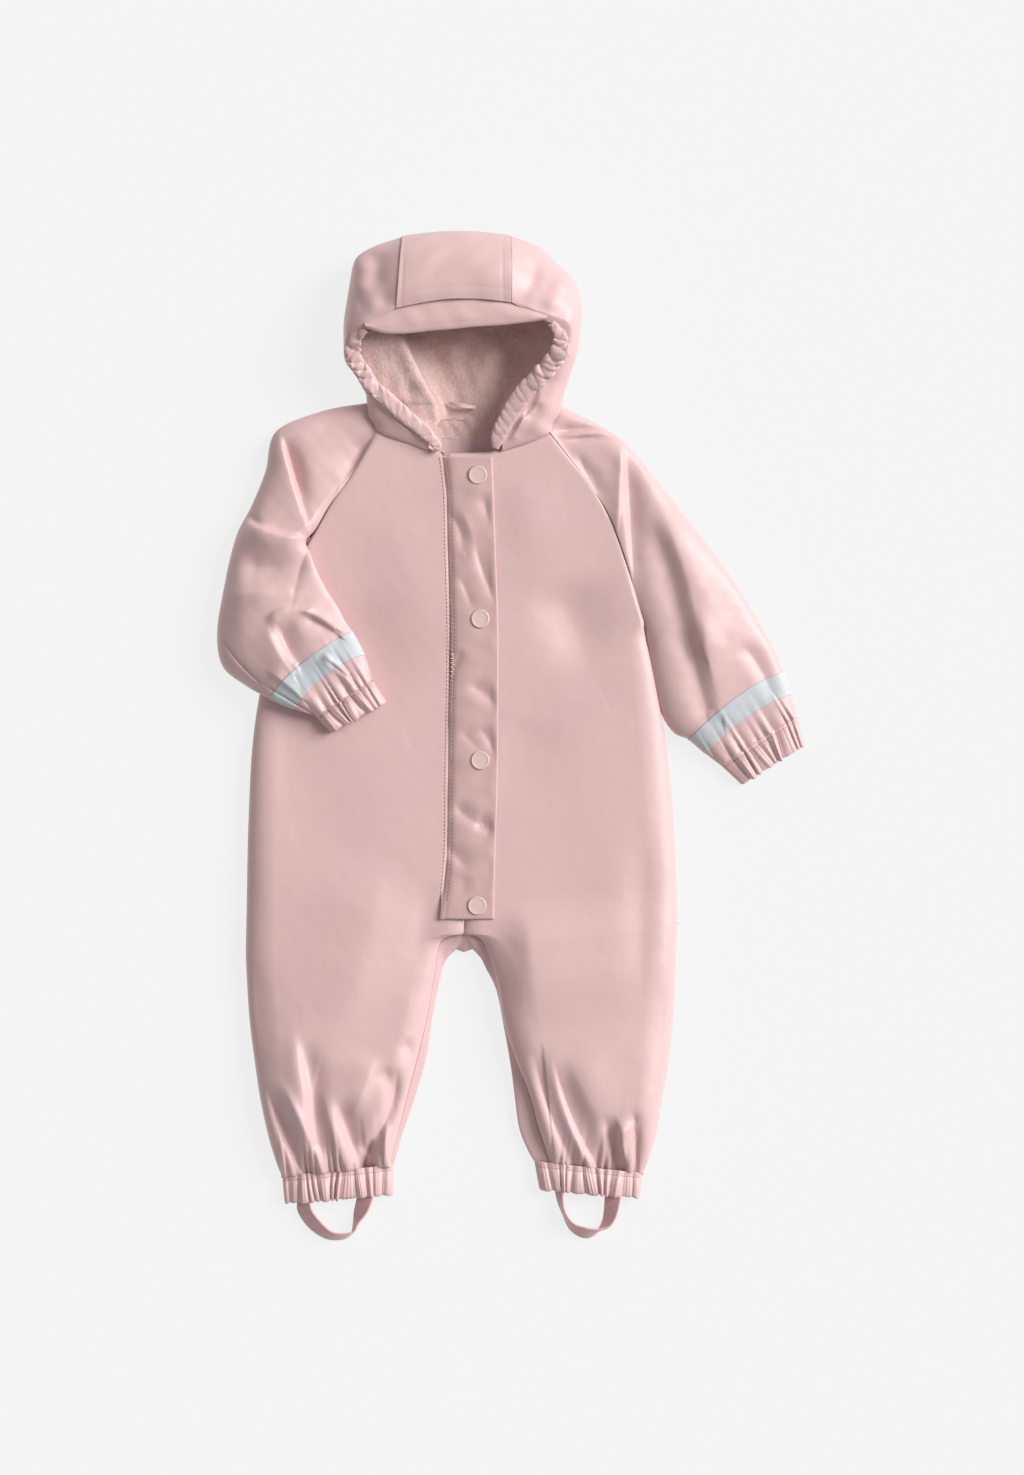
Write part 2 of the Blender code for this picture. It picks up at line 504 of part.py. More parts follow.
# ---------------------------------------------------------------- body
def front_grid(table, folds, across=17):
    """The outer face of a front and its leg, from the inner end to the outer one."""
    grid = np.empty((len(table), across, 3))
    lifts = []
    for line, row in zip(grid, table):
        reach = math.hypot(row.outer_x - row.inner_x, row.outer_y - row.inner_y)
        share = crowded(across, reach)
        line[:, 0] = row.inner_x + (row.outer_x - row.inner_x) * share
        line[:, 1] = row.inner_y + (row.outer_y - row.inner_y) * share
        line[:, 1] -= row.bow * np.sin(math.pi * share)
        rise = curl(reach * (1 - share), row.outer_roll) * curl(reach * share, row.inner_roll)
        ends = row.inner_z + (row.outer_z - row.inner_z) * share
        line[:, 2] = ends + (row.puff - ends) * rise
        lifts.append(rise)
    return folded(grid, folds, np.array(lifts))


def back_grid(table):
    """The outer face of a back: flat on the floor, and curling up to its seams."""
    lines = []
    for row in table:
        side = math.copysign(1, row.outer_x - row.inner_x)
        lift = max(row.outer_z - SIDE_SEAM, 0)
        top = max(row.inner_z - SIDE_SEAM, 0)
        turn = 7 * min(lift / 6, 1) + 0.8
        hem = 5 * min(max(row.edge_z, 0) / 5, 1) + 0.8
        floor_start, floor_end = row.outer_x - side * turn, row.edge_x + side * hem
        lines.append([
            (row.outer_x, row.outer_y, lift),
            (row.outer_x - side * 0.04 * turn, row.outer_y, lift * 0.72),
            (row.outer_x - side * 0.35 * turn, row.outer_y, lift * 0.22),
            (floor_start, row.outer_y, 0),
            (floor_start * 0.7 + floor_end * 0.3, row.outer_y * 0.7 + row.edge_y * 0.3, 0),
            (floor_start * 0.4 + floor_end * 0.6, row.outer_y * 0.4 + row.edge_y * 0.6, 0),
            (floor_end, row.edge_y, 0),
            (row.edge_x + side * 0.3 * hem, row.edge_y, 0.25 * row.edge_z),
            (row.edge_x, row.edge_y, row.edge_z),
            (row.inner_x * 0.5 + row.edge_x * 0.5, row.inner_y * 0.5 + row.edge_y * 0.5,
             top * 0.6 + row.edge_z * 0.4),
            (row.inner_x, row.inner_y, top),
        ])
    grid = np.array(lines)
    grid[..., 2] = np.maximum(grid[..., 2], 0)
    return grid


# ---------------------------------------------------------------- sleeves
def over_body(x, y, rows):
    """How high the body lies under a place on the folded sleeve."""
    side = np.interp(-y, [-row.outer_y for row in rows], [row.outer_x for row in rows])
    inside = np.clip((x - side + 17) / 26, 0, 1)
    return 20.5 * inside ** 2 * (3 - 2 * inside)


def sleeve_grid(table, folds, rests_on=None, along=19, at=None):
    """A sleeve's outer face, from its inner seam over the top and back underneath."""
    places = np.linspace(0, len(table) - 1, along) if at is None else at
    rows = smooth(table, places)
    over, under = 13, 8
    grid = np.empty((len(rows), over + under, 3))
    lifts = []
    for line, values in zip(grid, rows):
        row = Arm(*values)
        inner = np.array([row.inner_x, row.inner_y])
        span = np.array([row.outer_x, row.outer_y]) - inner
        reach = math.hypot(*span)
        top = crowded(over, reach)
        below = 1 - crowded(under + 1, reach)[1:]
        line[:, :2] = inner + np.concatenate([top, below])[:, None] * span
        rise = curl(reach * (1 - top), row.roll) * curl(reach * top, row.roll)
        ends = row.seam_z + (row.edge_z - row.seam_z) * top
        line[:over, 2] = ends + (row.puff - ends) * rise
        lifts.append(rise)
        sink = curl(reach * (1 - below), 9) * curl(reach * below, 9)
        ends = row.under_z - SEAM + (row.edge_z - row.under_z + SEAM) * below
        line[over:, 2] = ends + (FLOOR_LIFT - ends) * sink
    grid[:, :over] = folded(grid[:, :over], folds, np.array(lifts))
    if rests_on:
        on_body = np.clip((places - ON_BODY_FROM) / ON_BODY_OVER, 0, 1)[:, None]
        lift = over_body(grid[..., 0], grid[..., 1], rests_on) * on_body
        share = np.clip((grid[..., 2] - FLOOR_LIFT) / (grid[..., 2].max() - FLOOR_LIFT), 0, 1)
        grid[..., 2] = np.maximum(grid[..., 2], lift + share * ON_BODY_THICK)
    return grid


def tape(name, sleeve, rows, turned, **options):
    """Reflective tape: the sleeve's own points between two of its rows, moved out.

    Its middle bows towards the shoulder, as the sleeve's own roundness draws it.
    """
    first, last = rows
    grid = sleeve_grid(sleeve, at=np.linspace(first - TAPE_BOW, last, 9), **options)
    per_row = 8 / (last - first + TAPE_BOW)
    away = np.linalg.norm(grid[0, :, :2] - grid[0, 0, :2], axis=1)
    arch = 1 - (2 * away / away.max() - 1) ** 2
    bowed = [smooth(column, (TAPE_BOW * (1 - bend) + np.linspace(0, last - first, 3)) * per_row)
             for column, bend in zip(grid.swapaxes(0, 1), arch)]
    face = moved_out(np.array(bowed).swapaxes(0, 1), (TAPE_GAP + TAPE) * (1 if turned else -1))
    cloth(name, face, TAPE, SILVER, 0.4, flip=turned)


def moved_out(grid, distance):
    """A grid of points moved along its own normals."""
    along, across = np.gradient(grid, axis=0), np.gradient(grid, axis=1)
    normal = np.cross(along, across)
    normal /= np.linalg.norm(normal, axis=-1, keepdims=True)
    return grid + distance * normal


# ---------------------------------------------------------------- gathered cuffs
def cuff_ring(cuff, inset, wave, along=3):
    """A flattened ring of cloth: over the top from one end to the other, and back below."""
    over, under = 4 * cuff.gathers + 1, 9
    top = np.linspace(0, 1, over)
    below = np.linspace(1, 0, under + 1)[1:-1]
    share = np.concatenate([top, below])
    side = np.concatenate([np.ones(over), -np.ones(len(below))])
    lines = []
    for step in np.linspace(0, 1, along):
        ends = [np.array(cuff[k:k + 2]) * (1 - step) + np.array(cuff[k + 4:k + 6]) * step
                for k in (0, 2)]
        reach = np.linalg.norm(ends[1] - ends[0])
        inner = np.clip(share, inset / reach, 1 - inset / reach)
        plan = ends[0] + inner[:, None] * (ends[1] - ends[0])
        low, high = cuff.low + inset, cuff.high - inset - 1.6 * (1 - step)
        middle = low + 0.42 * (high - low)
        bulge = np.sqrt(1 - np.abs(2 * share - 1) ** 2.6)
        z = np.where(side > 0, middle + (high - middle) * bulge,
                     middle - (middle - low) * np.sqrt(1 - np.abs(2 * share - 1) ** 8))
        uneven = share + 0.012 * np.sin(2 * math.pi * 3.3 * share + cuff.gathers)
        ripple = np.sin(2 * math.pi * cuff.gathers * uneven) * np.sqrt(bulge)
        z = z + np.where(side > 0, wave * (0.55 + 0.45 * step) * ripple, 0)
        lines.append(np.column_stack([plan, z]))
    grid = np.array(lines)
    return np.concatenate([grid, grid[:, :1]], axis=1)


def gathered_cuff(name, cuff):
    """Outer gathers over a plain inside, joined at both ends of the ring."""
    outer = cuff_ring(cuff, 0, GATHER_WAVE)
    inner = cuff_ring(cuff, CUFF_WALL, 0)
    around = np.concatenate([outer, inner[::-1], outer[:1]])
    cloth(name, around, 0, ring=True, flip=True)


# ---------------------------------------------------------------- front opening
def flap_and_zip():
    rows = smooth(FLAP, np.linspace(0, len(FLAP) - 1, 22))
    share = np.linspace(0, 1, 8)
    face = np.empty((len(rows), len(share), 3))
    for line, values in zip(face, rows):
        row = Flap(*values)
        line[:, 0] = row.sewn_x + (row.free_x - row.sewn_x) * share
        line[:, 1] = row.y
        line[:, 2] = row.z + 0.4 * np.sin(math.pi * share)
    plain = face - (0, 0, DOUBLE)
    plain[..., 2] = rows[:, 3:4] - DOUBLE
    loops = np.concatenate([folded(face, FOLDS_FLAP), plain[:, ::-1], ], axis=1)
    capped_tube("storm_flap", closed(loops), PINK, 0.45)
    edge = smooth(FRONT_RIGHT[:10], np.linspace(0, 8.8, 16))
    top = np.column_stack([edge[:, 4] + ZIP_IN, edge[:, 5], edge[:, 6] - ZIP_DOWN])
    top[0, 1] = ZIP_TOP_Y
    wide, deep = np.array([ZIP_WIDTH, 0, 0]), np.array([0, 0, ZIP_DEPTH])
    loops = np.stack([top, top + wide, top + wide - deep, top - deep], axis=1)
    capped_tube("zip", closed(loops), ROSE, 0.5)
    for number, snap in enumerate(SNAPS, 1):
        near = np.hypot(face[..., 0] - snap.x, face[..., 1] - snap.y) < SNAP_RADIUS + 5
        seat = face[near][:, 2].max() + SNAP_GAP
        bpy.ops.mesh.primitive_cylinder_add(
            vertices=16, radius=SNAP_RADIUS * MM, depth=SNAP_HEIGHT * MM,
            location=(snap.x * MM, snap.y * MM, (seat + SNAP_HEIGHT / 2) * MM))
        cap = bpy.context.object
        cap.name = f"snap_{number}"
        for home in list(cap.users_collection):
            home.objects.unlink(cap)
        SUIT.objects.link(cap)
        cap.data.materials.append(colour_of(cap.name, PINK, 0.35))
        edge_round = cap.modifiers.new("rounded rim", "BEVEL")
        edge_round.width = 0.7 * MM
        edge_round.segments = 1
        edge_round.limit_method = "ANGLE"


def closed(loops):
    """Loops of points with the first point repeated, so that each one closes."""
    return np.concatenate([loops, loops[:, :1]], axis=1)


# ---------------------------------------------------------------- hood
def hood_centre_grid():
    crown = np.arange(0, CROWN_ROWS + 0.01, 0.5)
    under = np.arange(CROWN_ROWS + 1, len(HOOD_CENTRE))
    rows = smooth(HOOD_CENTRE, np.concatenate([crown, under]))
    share = np.linspace(0, 1, 8)
    grid = np.empty((len(rows), len(share), 3))
    for line, values in zip(grid, rows):
        row = Strip(*values)
        line[:, 0] = row.left_x + (row.right_x - row.left_x) * share
        line[:, 1] = row.left_y + (row.right_y - row.left_y) * share
        line[:, 1] += row.bow * np.sin(math.pi * share)
        line[:, 2] = max(row.z, 0) + min(row.z / 30, 1) * 1.5 * np.sin(math.pi * share)
    beside = np.maximum(abs(grid[-1, :, 0] - BACK_NECK_X) - BACK_NECK_FLAT, 0)
    grid[-1, :, 1] = BACK_NECK_Y - BACK_NECK_SLOPE * beside
    return grid, len(crown)


def hood_side_grid(table, seam, below):
    """A side of the hood: its first row runs along the middle strip's edge."""
    lines = [seam]
    for number, row in enumerate(table):
        rim = np.array(row[:3])
        fold = np.array(row[3:])
        end = below[number] if number < len(below) else fold + NECK_TURN
        shape = [rim]
        shape += [rim + (fold - rim) * (plan, plan, 1 - rise)
                  for plan, rise in ((0.4, 0.88), (0.75, 0.6), (0.95, 0.28))]
        shape.append(fold)
        shape += [fold + (end - fold) * (plan, plan, 1 - rise)
                  for plan, rise in ((0.08, 0.6), (0.3, 0.14), (0.65, 0.02))]
        shape.append(end)
        lines.append(evenly(shape, len(seam)))
    return np.array(lines)


def hood():
    centre, crown = hood_centre_grid()
    cloth("hood_centre", centre, WALL, flip=True)
    for side, table, edge, push in (("right", HOOD_RIGHT, 0, -SEAM), ("left", HOOD_LEFT, -1, SEAM)):
        beside = centre[:, edge] + (push, 0, 0)
        grid = hood_side_grid(table, beside[:crown], beside[crown:-1])
        cloth(f"hood_side_{side}", grid, WALL, flip=side == "left")
    for side, path in (("right", RIM_RIGHT), ("left", RIM_LEFT)):
        rim_casing(f"hood_rim_{side}", path, RIM_GATHERS[side])
    peak()
    lining()


def rim_casing(name, path, gathers, around=7):
    """The hood's elasticated rim: a soft roll that swells between its gathers."""
    count = 3 * gathers + 1
    rows = smooth(path, np.linspace(0, len(path) - 1, count))
    ahead = np.gradient(rows[:, :3], axis=0)
    side = np.column_stack([ahead[:, 1], -ahead[:, 0], np.zeros(count)])
    side /= np.linalg.norm(side, axis=1, keepdims=True)
    turn = np.linspace(0, 2 * math.pi, around + 1)
    swell = 1 + GATHER_HEIGHT * np.sin(2 * math.pi * gathers * np.linspace(0, 1, count))
    loops = []
    for row, across, size in zip(rows, side, swell):
        wide = np.cos(turn)[:, None] * across * row[3] / 2 * size
        high = np.sin(turn)[:, None] * np.array([0, 0, row[4] / 2]) * size
        loops.append(row[:3] + wide + high)
    capped_tube(name, np.array(loops), PINK, 0.45)


def peak():
    rows = smooth(PEAK, np.linspace(0, len(PEAK) - 1, 21))
    grid = np.array([[(r[0] + (r[2] - r[0]) * s, r[1] + (r[3] - r[1]) * s,
                       r[4] + (r[5] - r[4]) * s + 0.8 * math.sin(math.pi * s))
                      for s in (0, 0.5, 1)] for r in rows])
    cloth("peak", grid, DOUBLE, flip=True)


def lining():
    lines = []
    for row in LINING:
        wide = row.floor_right - row.floor_left
        lines.append([
            (row.left_x, row.y, row.left_z),
            ((row.left_x + row.fold_x) / 2, row.y, (row.left_z + row.fold_z) / 2 + 1),
            (row.fold_x, row.y, row.fold_z),
            (row.floor_left - 2, row.y, row.floor_z + 3),
            (row.floor_left + 0.25 * wide, row.y, row.floor_z),
            (row.floor_left + 0.7 * wide, row.y, row.floor_z),
            (row.floor_right, row.y, row.floor_z + 1),
            (row.floor_right + 0.7 * (row.right_x - row.floor_right), row.y,
             row.floor_z + 0.4 * (row.right_z - row.floor_z)),
            (row.right_x, row.y, row.right_z),
        ])
    rows = smooth(lines, np.linspace(0, len(lines) - 1, 12))
    grid = np.array([smooth(line, np.linspace(0, len(line) - 1, 15)) for line in rows])
    cloth("hood_lining", grid, FLEECE, NAP, 0.95, flip=True)
    for name, top, bottom, colour in (("neck_band", 259.4, 241.0, NAP),
                                      ("neck_facing", 240.2, 214.0, PINK)):
        share = np.linspace(0, 1, 8)
        grid = np.array([[(NECK_LEFT + (NECK_RIGHT - NECK_LEFT) * s, y,
                           NECK_Z + NECK_RISE * abs(2 * s - 1) ** 3) for s in share]
                         for y in np.linspace(top, bottom, 4)])
        cloth(name, grid, FLEECE, colour, 0.9, flip=True)
    path = smooth(HANGER, np.linspace(0, len(HANGER) - 1, 9))
    grid = np.stack([path[:, :3], (path[:, :3] + path[:, 3:]) / 2, path[:, 3:]], axis=1)
    cloth("hanger_loop", grid, 1.0, PINK, 0.5, flip=True)


# ---------------------------------------------------------------- straps under the feet
def stirrup(name, table):
    rows = smooth(table, np.linspace(0, len(table) - 1, 25))
    floor = np.column_stack([rows[:, :2], rows[:, 4]])
    top = np.column_stack([rows[:, 2:4], rows[:, 5]])
    face = np.cross(np.gradient((floor + top) / 2, axis=0), top - floor)
    face *= STRAP / 2 / np.linalg.norm(face, axis=1, keepdims=True)
    loops = np.stack([floor - face, top - face, top + face, floor + face], axis=1)
    loops[..., 2] = np.maximum(loops[..., 2], 0)
    capped_tube(name, closed(loops), ROSE, 0.7)


def main():
    for side, fronts, folds in (("right", FRONT_RIGHT, FOLDS_FRONT_RIGHT),
                                ("left", FRONT_LEFT, FOLDS_FRONT_LEFT)):
        cloth(f"front_{side}", front_grid(fronts, folds), WALL, flip=side == "left")
    for side, backs in (("right", BACK_RIGHT), ("left", BACK_LEFT)):
        cloth(f"back_{side}", back_grid(backs), WALL, flip=side == "left")
    left = {"folds": FOLDS_SLEEVE_LEFT}
    right = {"folds": FOLDS_SLEEVE_RIGHT, "rests_on": FRONT_RIGHT}
    cloth("sleeve_left", sleeve_grid(SLEEVE_LEFT, **left), WALL, flip=True)
    cloth("sleeve_right", sleeve_grid(SLEEVE_RIGHT, **right), WALL)
    tape("tape_left", SLEEVE_LEFT, TAPE_ROWS["left"], True, **left)
    tape("tape_right", SLEEVE_RIGHT, TAPE_ROWS["right"], False, **right)
    for name, cuff in CUFFS.items():
        gathered_cuff(name, cuff)
    flap_and_zip()
    hood()
    for name, table in STIRRUPS.items():
        stirrup(name, table)


for old in list(bpy.data.objects):
    bpy.data.objects.remove(old)
SUIT = bpy.data.collections.new("puddle_suit")
bpy.context.scene.collection.children.link(SUIT)
main()
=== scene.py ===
"""The looks of a toddler's puddle suit of coated fabric, laid flat on its back.

The tables are in millimetres from the middle of the laid-out suit, as in the part's source:
+X to the wearer's left, +Y towards the hood, Z above the floor. Each piece of cloth is a
grid of points on its outer face, shaped by its table, its creases and its gathers. Finishes
and the stage are in metres.
"""
import math
from collections import namedtuple

import bmesh
import bpy
import numpy as np
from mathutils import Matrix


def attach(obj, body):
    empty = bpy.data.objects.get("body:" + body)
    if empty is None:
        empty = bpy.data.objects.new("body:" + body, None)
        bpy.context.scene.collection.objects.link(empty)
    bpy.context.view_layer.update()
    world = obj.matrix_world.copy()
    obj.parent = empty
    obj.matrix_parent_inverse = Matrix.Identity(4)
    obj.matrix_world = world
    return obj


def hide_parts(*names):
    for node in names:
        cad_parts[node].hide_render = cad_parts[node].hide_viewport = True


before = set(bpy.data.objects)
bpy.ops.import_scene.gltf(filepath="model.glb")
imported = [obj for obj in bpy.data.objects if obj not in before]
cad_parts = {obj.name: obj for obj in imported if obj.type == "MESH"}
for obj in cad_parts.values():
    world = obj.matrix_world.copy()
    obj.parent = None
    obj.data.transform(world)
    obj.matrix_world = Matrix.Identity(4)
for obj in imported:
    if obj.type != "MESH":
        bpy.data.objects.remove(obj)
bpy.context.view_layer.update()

MM = 0.001
WALL = 1.0        # coated fabric
NAP_WALL = 1.5    # fleece
SEAM = 0.4        # between two pieces sewn edge to edge
SIDE_SEAM = 0.7   # where a front and a back curl up and down to each other
FLOOR_LIFT = 0.9  # the undersides of the sleeves
FILM = 0.25       # reflective film, and its gap to the sleeve

# ---------------------------------------------------------------- tables
# One row for each section of a front and its leg, from the neck to the ankle: the outer end
# is on the raglan seam and then the side seam, the inner end on the opening and the inseam.
# A roll is how wide the cloth curls down to that end; bow drops the middle of the row.
Front = namedtuple("Front", "outer_x outer_y outer_z outer_roll "
                            "inner_x inner_y inner_z inner_roll puff bow", defaults=(0,))
FRONT_RIGHT = [Front(*row) for row in (
    (-108, 242, 15, 20, -57.2, 224, 17, 12, 17.5),
    (-126, 211, 15, 20, -53.4, 194, 18, 12, 18),
    (-142, 188, 14, 20, -52.4, 160, 18, 12, 18),
    (-157.5, 161, 13, 20, -51.4, 125, 18, 12, 17.5),
    (-175, 132, 8, 24, -50.4, 90, 18, 12, 17),
    (-190, 93, 7, 30, -50.4, 60, 18, 12, 16.5),
    (-201, 40, 7, 28, -51.4, 20, 18, 12, 17),
    (-208, -10, 7, 24, -52.4, -30, 18, 12, 18.5),
    (-211, -70, 7, 24, -52.6, -85, 18, 12, 19.5),
    (-212, -114, 7, 24, -53, -128, 17, 12, 20),
    (-212.4, -138, 7, 24, -38.8, -146, 15, 14, 20),
    (-212.7, -152, 7, 24, -38.6, -157.6, 14, 16, 20),
    (-212.9, -163, 7, 24, -47, -159.4, 13, 16, 20),
    (-213, -176, 7, 24, -57, -165.5, 12, 18, 20),
    (-212, -198, 7, 24, -61, -188, 11, 20, 20.5),
    (-210, -228, 7, 24, -67, -222, 10, 20, 21),
    (-206, -260, 7, 22, -75, -256, 10, 20, 21.5),
    (-201.2, -292, 7, 20, -84, -290, 10, 18, 22),
    (-194.6, -322, 7, 18, -91, -318, 9, 16, 21),
    (-188.4, -342, 7, 14, -95.5, -335, 9, 14, 17.5),
    (-184, -352.6, 7, 10, -96.5, -344, 8, 10, 12.5),
)]
FRONT_LEFT = [Front(*row) for row in (
    (31, 241, 15, 20, -50, 224, 16, 12, 17.5, 6),
    (47, 220, 15, 20, -47, 194, 17, 12, 18, 2),
    (62, 201, 15, 20, -46, 160, 17, 12, 18),
    (78, 174, 14, 20, -45, 125, 17, 12, 17.5),
    (91, 138, 12, 20, -44.5, 90, 17, 12, 17),
    (99, 106, 11, 14, -44.5, 60, 17, 12, 16.5),
    (109, 72, 11, 16, -45, 20, 17, 12, 17),
    (119, 24, 9, 20, -46, -30, 17, 12, 18),
    (126, -20, 7, 24, -47, -75, 17, 12, 19),
    (131, -90, 7, 24, -48, -122, 17, 12, 20),
    (132.6, -134, 7, 24, -37.8, -146, 15, 14, 20),
    (133, -150, 7, 24, -38, -157.6, 14, 16, 20),
    (132.6, -162, 7, 24, -30, -159.4, 13, 16, 20),
    (132, -176, 7, 24, -22, -166.5, 12, 18, 20),
    (131, -200, 7, 24, -12, -195, 11, 20, 20.5),
    (129.5, -230, 7, 24, -6, -228, 10, 20, 21),
    (126, -260, 7, 22, 3, -258, 10, 20, 21.5),
    (121, -290, 7, 20, 14, -286, 10, 18, 22),
    (115.5, -320, 7, 18, 21, -312, 9, 16, 21),
    (109.5, -340, 7, 14, 27, -330, 9, 14, 17.5),
    (105, -350.4, 7, 10, 30, -341.5, 8, 10, 12.5),
)]

# The back of the same half: the outer end meets the front at the side seam, the edge is the
# folded outline between the legs, and the inner end is the centre back, then the inseam.
Back = namedtuple("Back", "outer_x outer_y outer_z edge_x edge_y edge_z "
                          "inner_x inner_y inner_z")


def back_rows(front, edge_x, centre_x, flat, seat, leg_edges):
    """A back's rows: flat as far as the hips, round the seat, and along the front's own leg."""
    rows = [Back(x, y, z, edge_x, inner_y, 0, centre_x, inner_y, 0) for x, y, z, inner_y in flat]
    rows += [Back(*row) for row in seat]
    for above, edge in zip(front[-len(leg_edges):], leg_edges):
        rows.append(Back(above.outer_x, above.outer_y, above.outer_z, *edge,
                         above.inner_x, above.inner_y, above.inner_z))
    return rows


BACK_RIGHT = back_rows(
    FRONT_RIGHT, -50, -38.6,
    flat=(
        (-108, 242, 0, 260), (-126, 211, 0, 211), (-157.5, 161, 0, 161),
        (-175, 132, 3, 125), (-190, 93, 7, 85), (-201, 40, 7, 35),
        (-208, -10, 7, -15), (-211, -70, 7, -70), (-212, -120, 7, -120),
    ),
    seat=(
        (-212.6, -148, 7, -50, -150, 0, -38.6, -152, 0),
        (-212.8, -154, 7, -49, -164, 0, -38.6, -166, 0),
        (-212.9, -160, 7, -47, -170, 2, -38.6, -173, 5),
        (-213, -166, 7, -48, -174, 5, -38.6, -157.6, 14),
        (-213, -171, 7, -51.5, -178, 6, -47, -159.4, 13),
    ),
    leg_edges=(
        (-54.5, -184, 6), (-58, -198, 6), (-63.5, -226, 6), (-68.4, -258, 6),
        (-77.8, -291, 6), (-87.4, -319, 6), (-92.5, -337, 6), (-95, -344.6, 5),
    ))
BACK_LEFT = back_rows(
    FRONT_LEFT, -26, -38,
    flat=(
        (31, 242, 0, 260), (54, 211, 0, 211), (78, 174, 0, 168),
        (91, 138, 3, 130), (101, 98, 7, 90), (111, 60, 8, 50),
        (119.5, 20, 8, 10), (127, -30, 7, -35), (131.5, -95, 7, -98),
    ),
    seat=(
        (133, -145, 7, -26, -150, 0, -38, -152, 0),
        (133, -150, 7, -27, -164, 0, -38, -166, 0),
        (132.8, -157, 7, -29, -170, 2, -38, -173, 5),
        (132.6, -163, 7, -28, -174, 5, -38, -157.6, 14),
        (132.3, -169, 7, -24.5, -178, 6, -30, -159.4, 13),
    ),
    leg_edges=(
        (-21, -185, 6), (-12, -204, 6), (-6, -234, 6), (-1, -262, 6),
        (2.6, -288, 6), (6.4, -314, 6), (13.4, -332, 6), (18.4, -340.8, 5),
    ))

# Sections of a sleeve from the neck to the cuff, from its inner to its outer fold. Where it
# is sewn to the body its inner end is open: seam_z on top, and under_z below.
Arm = namedtuple("Arm", "inner_x inner_y outer_x outer_y seam_z under_z edge_z puff roll")
SLEEVE_LEFT = [Arm(*row) for row in (
    (32, 242.5, 41.8, 264, 15, 1.3, 7, 15, 10),
    (48.2, 221.2, 66, 252, 15, 1.3, 7, 16, 14),
    (62.8, 201.6, 92, 235, 15, 1.3, 7, 18, 18),
    (79, 174.6, 117, 205, 14, 1.3, 7, 19, 22),
    (92.2, 138.6, 140, 176, 10, 2, 7, 19, 26),
    (100.6, 106.6, 161, 149, 7, 4, 7, 19, 28),
    (110.8, 70, 181, 121, 6, 5, 7, 19, 28),
    (120.4, 28, 196, 96, 6, 5, 7, 18, 26),
    (131.5, 4, 209, 73, 6, 5, 7, 17, 22),
    (143, -3, 218.5, 50, 6, 5, 7, 16, 18),
    (156.5, -14.5, 224.5, 32, 6, 5, 7, 14, 16),
    (168, -23, 228.5, 16.5, 6, 5, 7, 11.5, 10),
)]
SLEEVE_RIGHT = [Arm(*row) for row in (
    (-108.6, 243, -119.5, 267, 15, 1.3, 7, 15, 10),
    (-120, 222.6, -153, 260.6, 15, 1.3, 7, 17, 16),
    (-132.6, 202, -189, 244.4, 15, 1.3, 7, 20, 20),
    (-145.6, 184.6, -197.6, 212, 14, 1.3, 7, 23, 24),
    (-156.4, 166, -209, 184, 15, 1.3, 7, 26, 26),
    (-164, 155.8, -218.6, 166, 18, 8, 8, 28, 26),
    (-160, 145, -224.4, 148, 22, 20, 8, 29, 40),
    (-154, 130, -230, 122, 22, 20, 9, 31, 52),
    (-146, 115, -236, 84, 22, 20, 9, 32, 60),
    (-138, 103, -232, 57, 22, 20, 9, 32, 60),
    (-133, 93, -215, 42, 22, 20, 10, 32, 50),
    (-127, 84, -193, 30, 22, 20, 12, 32, 36),
    (-117, 65, -174, 22, 22, 20, 14, 31, 18),
    (-111, 45, -156, 16, 22, 20, 17, 28.5, 10),
)]
TAPE_ROWS = {"left": (8.9, 9.9), "right": (11, 12)}
TAPE_BOW = 0.3  # of a row, by which its middle lies nearer the shoulder
ON_BODY_FROM, ON_BODY_OVER = 4.9, 1  # the row where the right sleeve goes up on the chest
ON_BODY_THICK, ARM_TOP = 11, 32  # how thick it is there at the least, and its full height

# Gathered cuffs: the seam's two ends, then the free edge's two ends.
Cuff = namedtuple("Cuff", "seam_ax seam_ay seam_bx seam_by edge_ax edge_ay edge_bx edge_by "
                          "low high gathers seed")
CUFFS = {
    "cuff_ankle_right": Cuff(-183.8, -354.2, -94.5, -345.6, -182, -374.5, -94.5, -367,
                             0, 15, 13, 11),
    "cuff_ankle_left": Cuff(18.6, -342.4, 105, -352, 22, -363.5, 103, -370, 0, 15, 11, 23),
    "cuff_wrist_left": Cuff(168.4, -23.6, 229, 16, 184.5, -39, 235.4, -6.5, 0.3, 13, 9, 37),
    "cuff_wrist_right": Cuff(-155.8, 15.4, -110.8, 44.4, -144.5, 3, -99.5, 27.5, 19, 31, 7, 41),
}

# The storm flap: its sewn edge, its free edge and how high it lies.
Flap = namedtuple("Flap", "sewn_x free_x y z")
FLAP = [Flap(*row) for row in (
    (-56, -15.3, 223.5, 20),
    (-52.6, -14.3, 194, 20.8),
    (-51.6, -12.6, 149, 20.8),
    (-50.2, -11, 106, 20.4),
    (-49.8, -10.4, 77, 20.2),
    (-50.6, -10.6, 20, 20.6),
    (-51.6, -11, -35, 21.4),
    (-52.4, -13, -96, 22.6),
    (-57.4, -14.2, -146, 22.8),
)]
Snap = namedtuple("Snap", "x y")
SNAPS = [Snap(-27, 209), Snap(-25, 94), Snap(-25, -19), Snap(-27.5, -135)]
ZIP_IN, ZIP_DOWN = 1.2, 1.2  # from the right front's edge to the zip's
ZIP_WIDTH, ZIP_DEPTH = 3.8, 2
ZIP_TOP_Y = 227.5

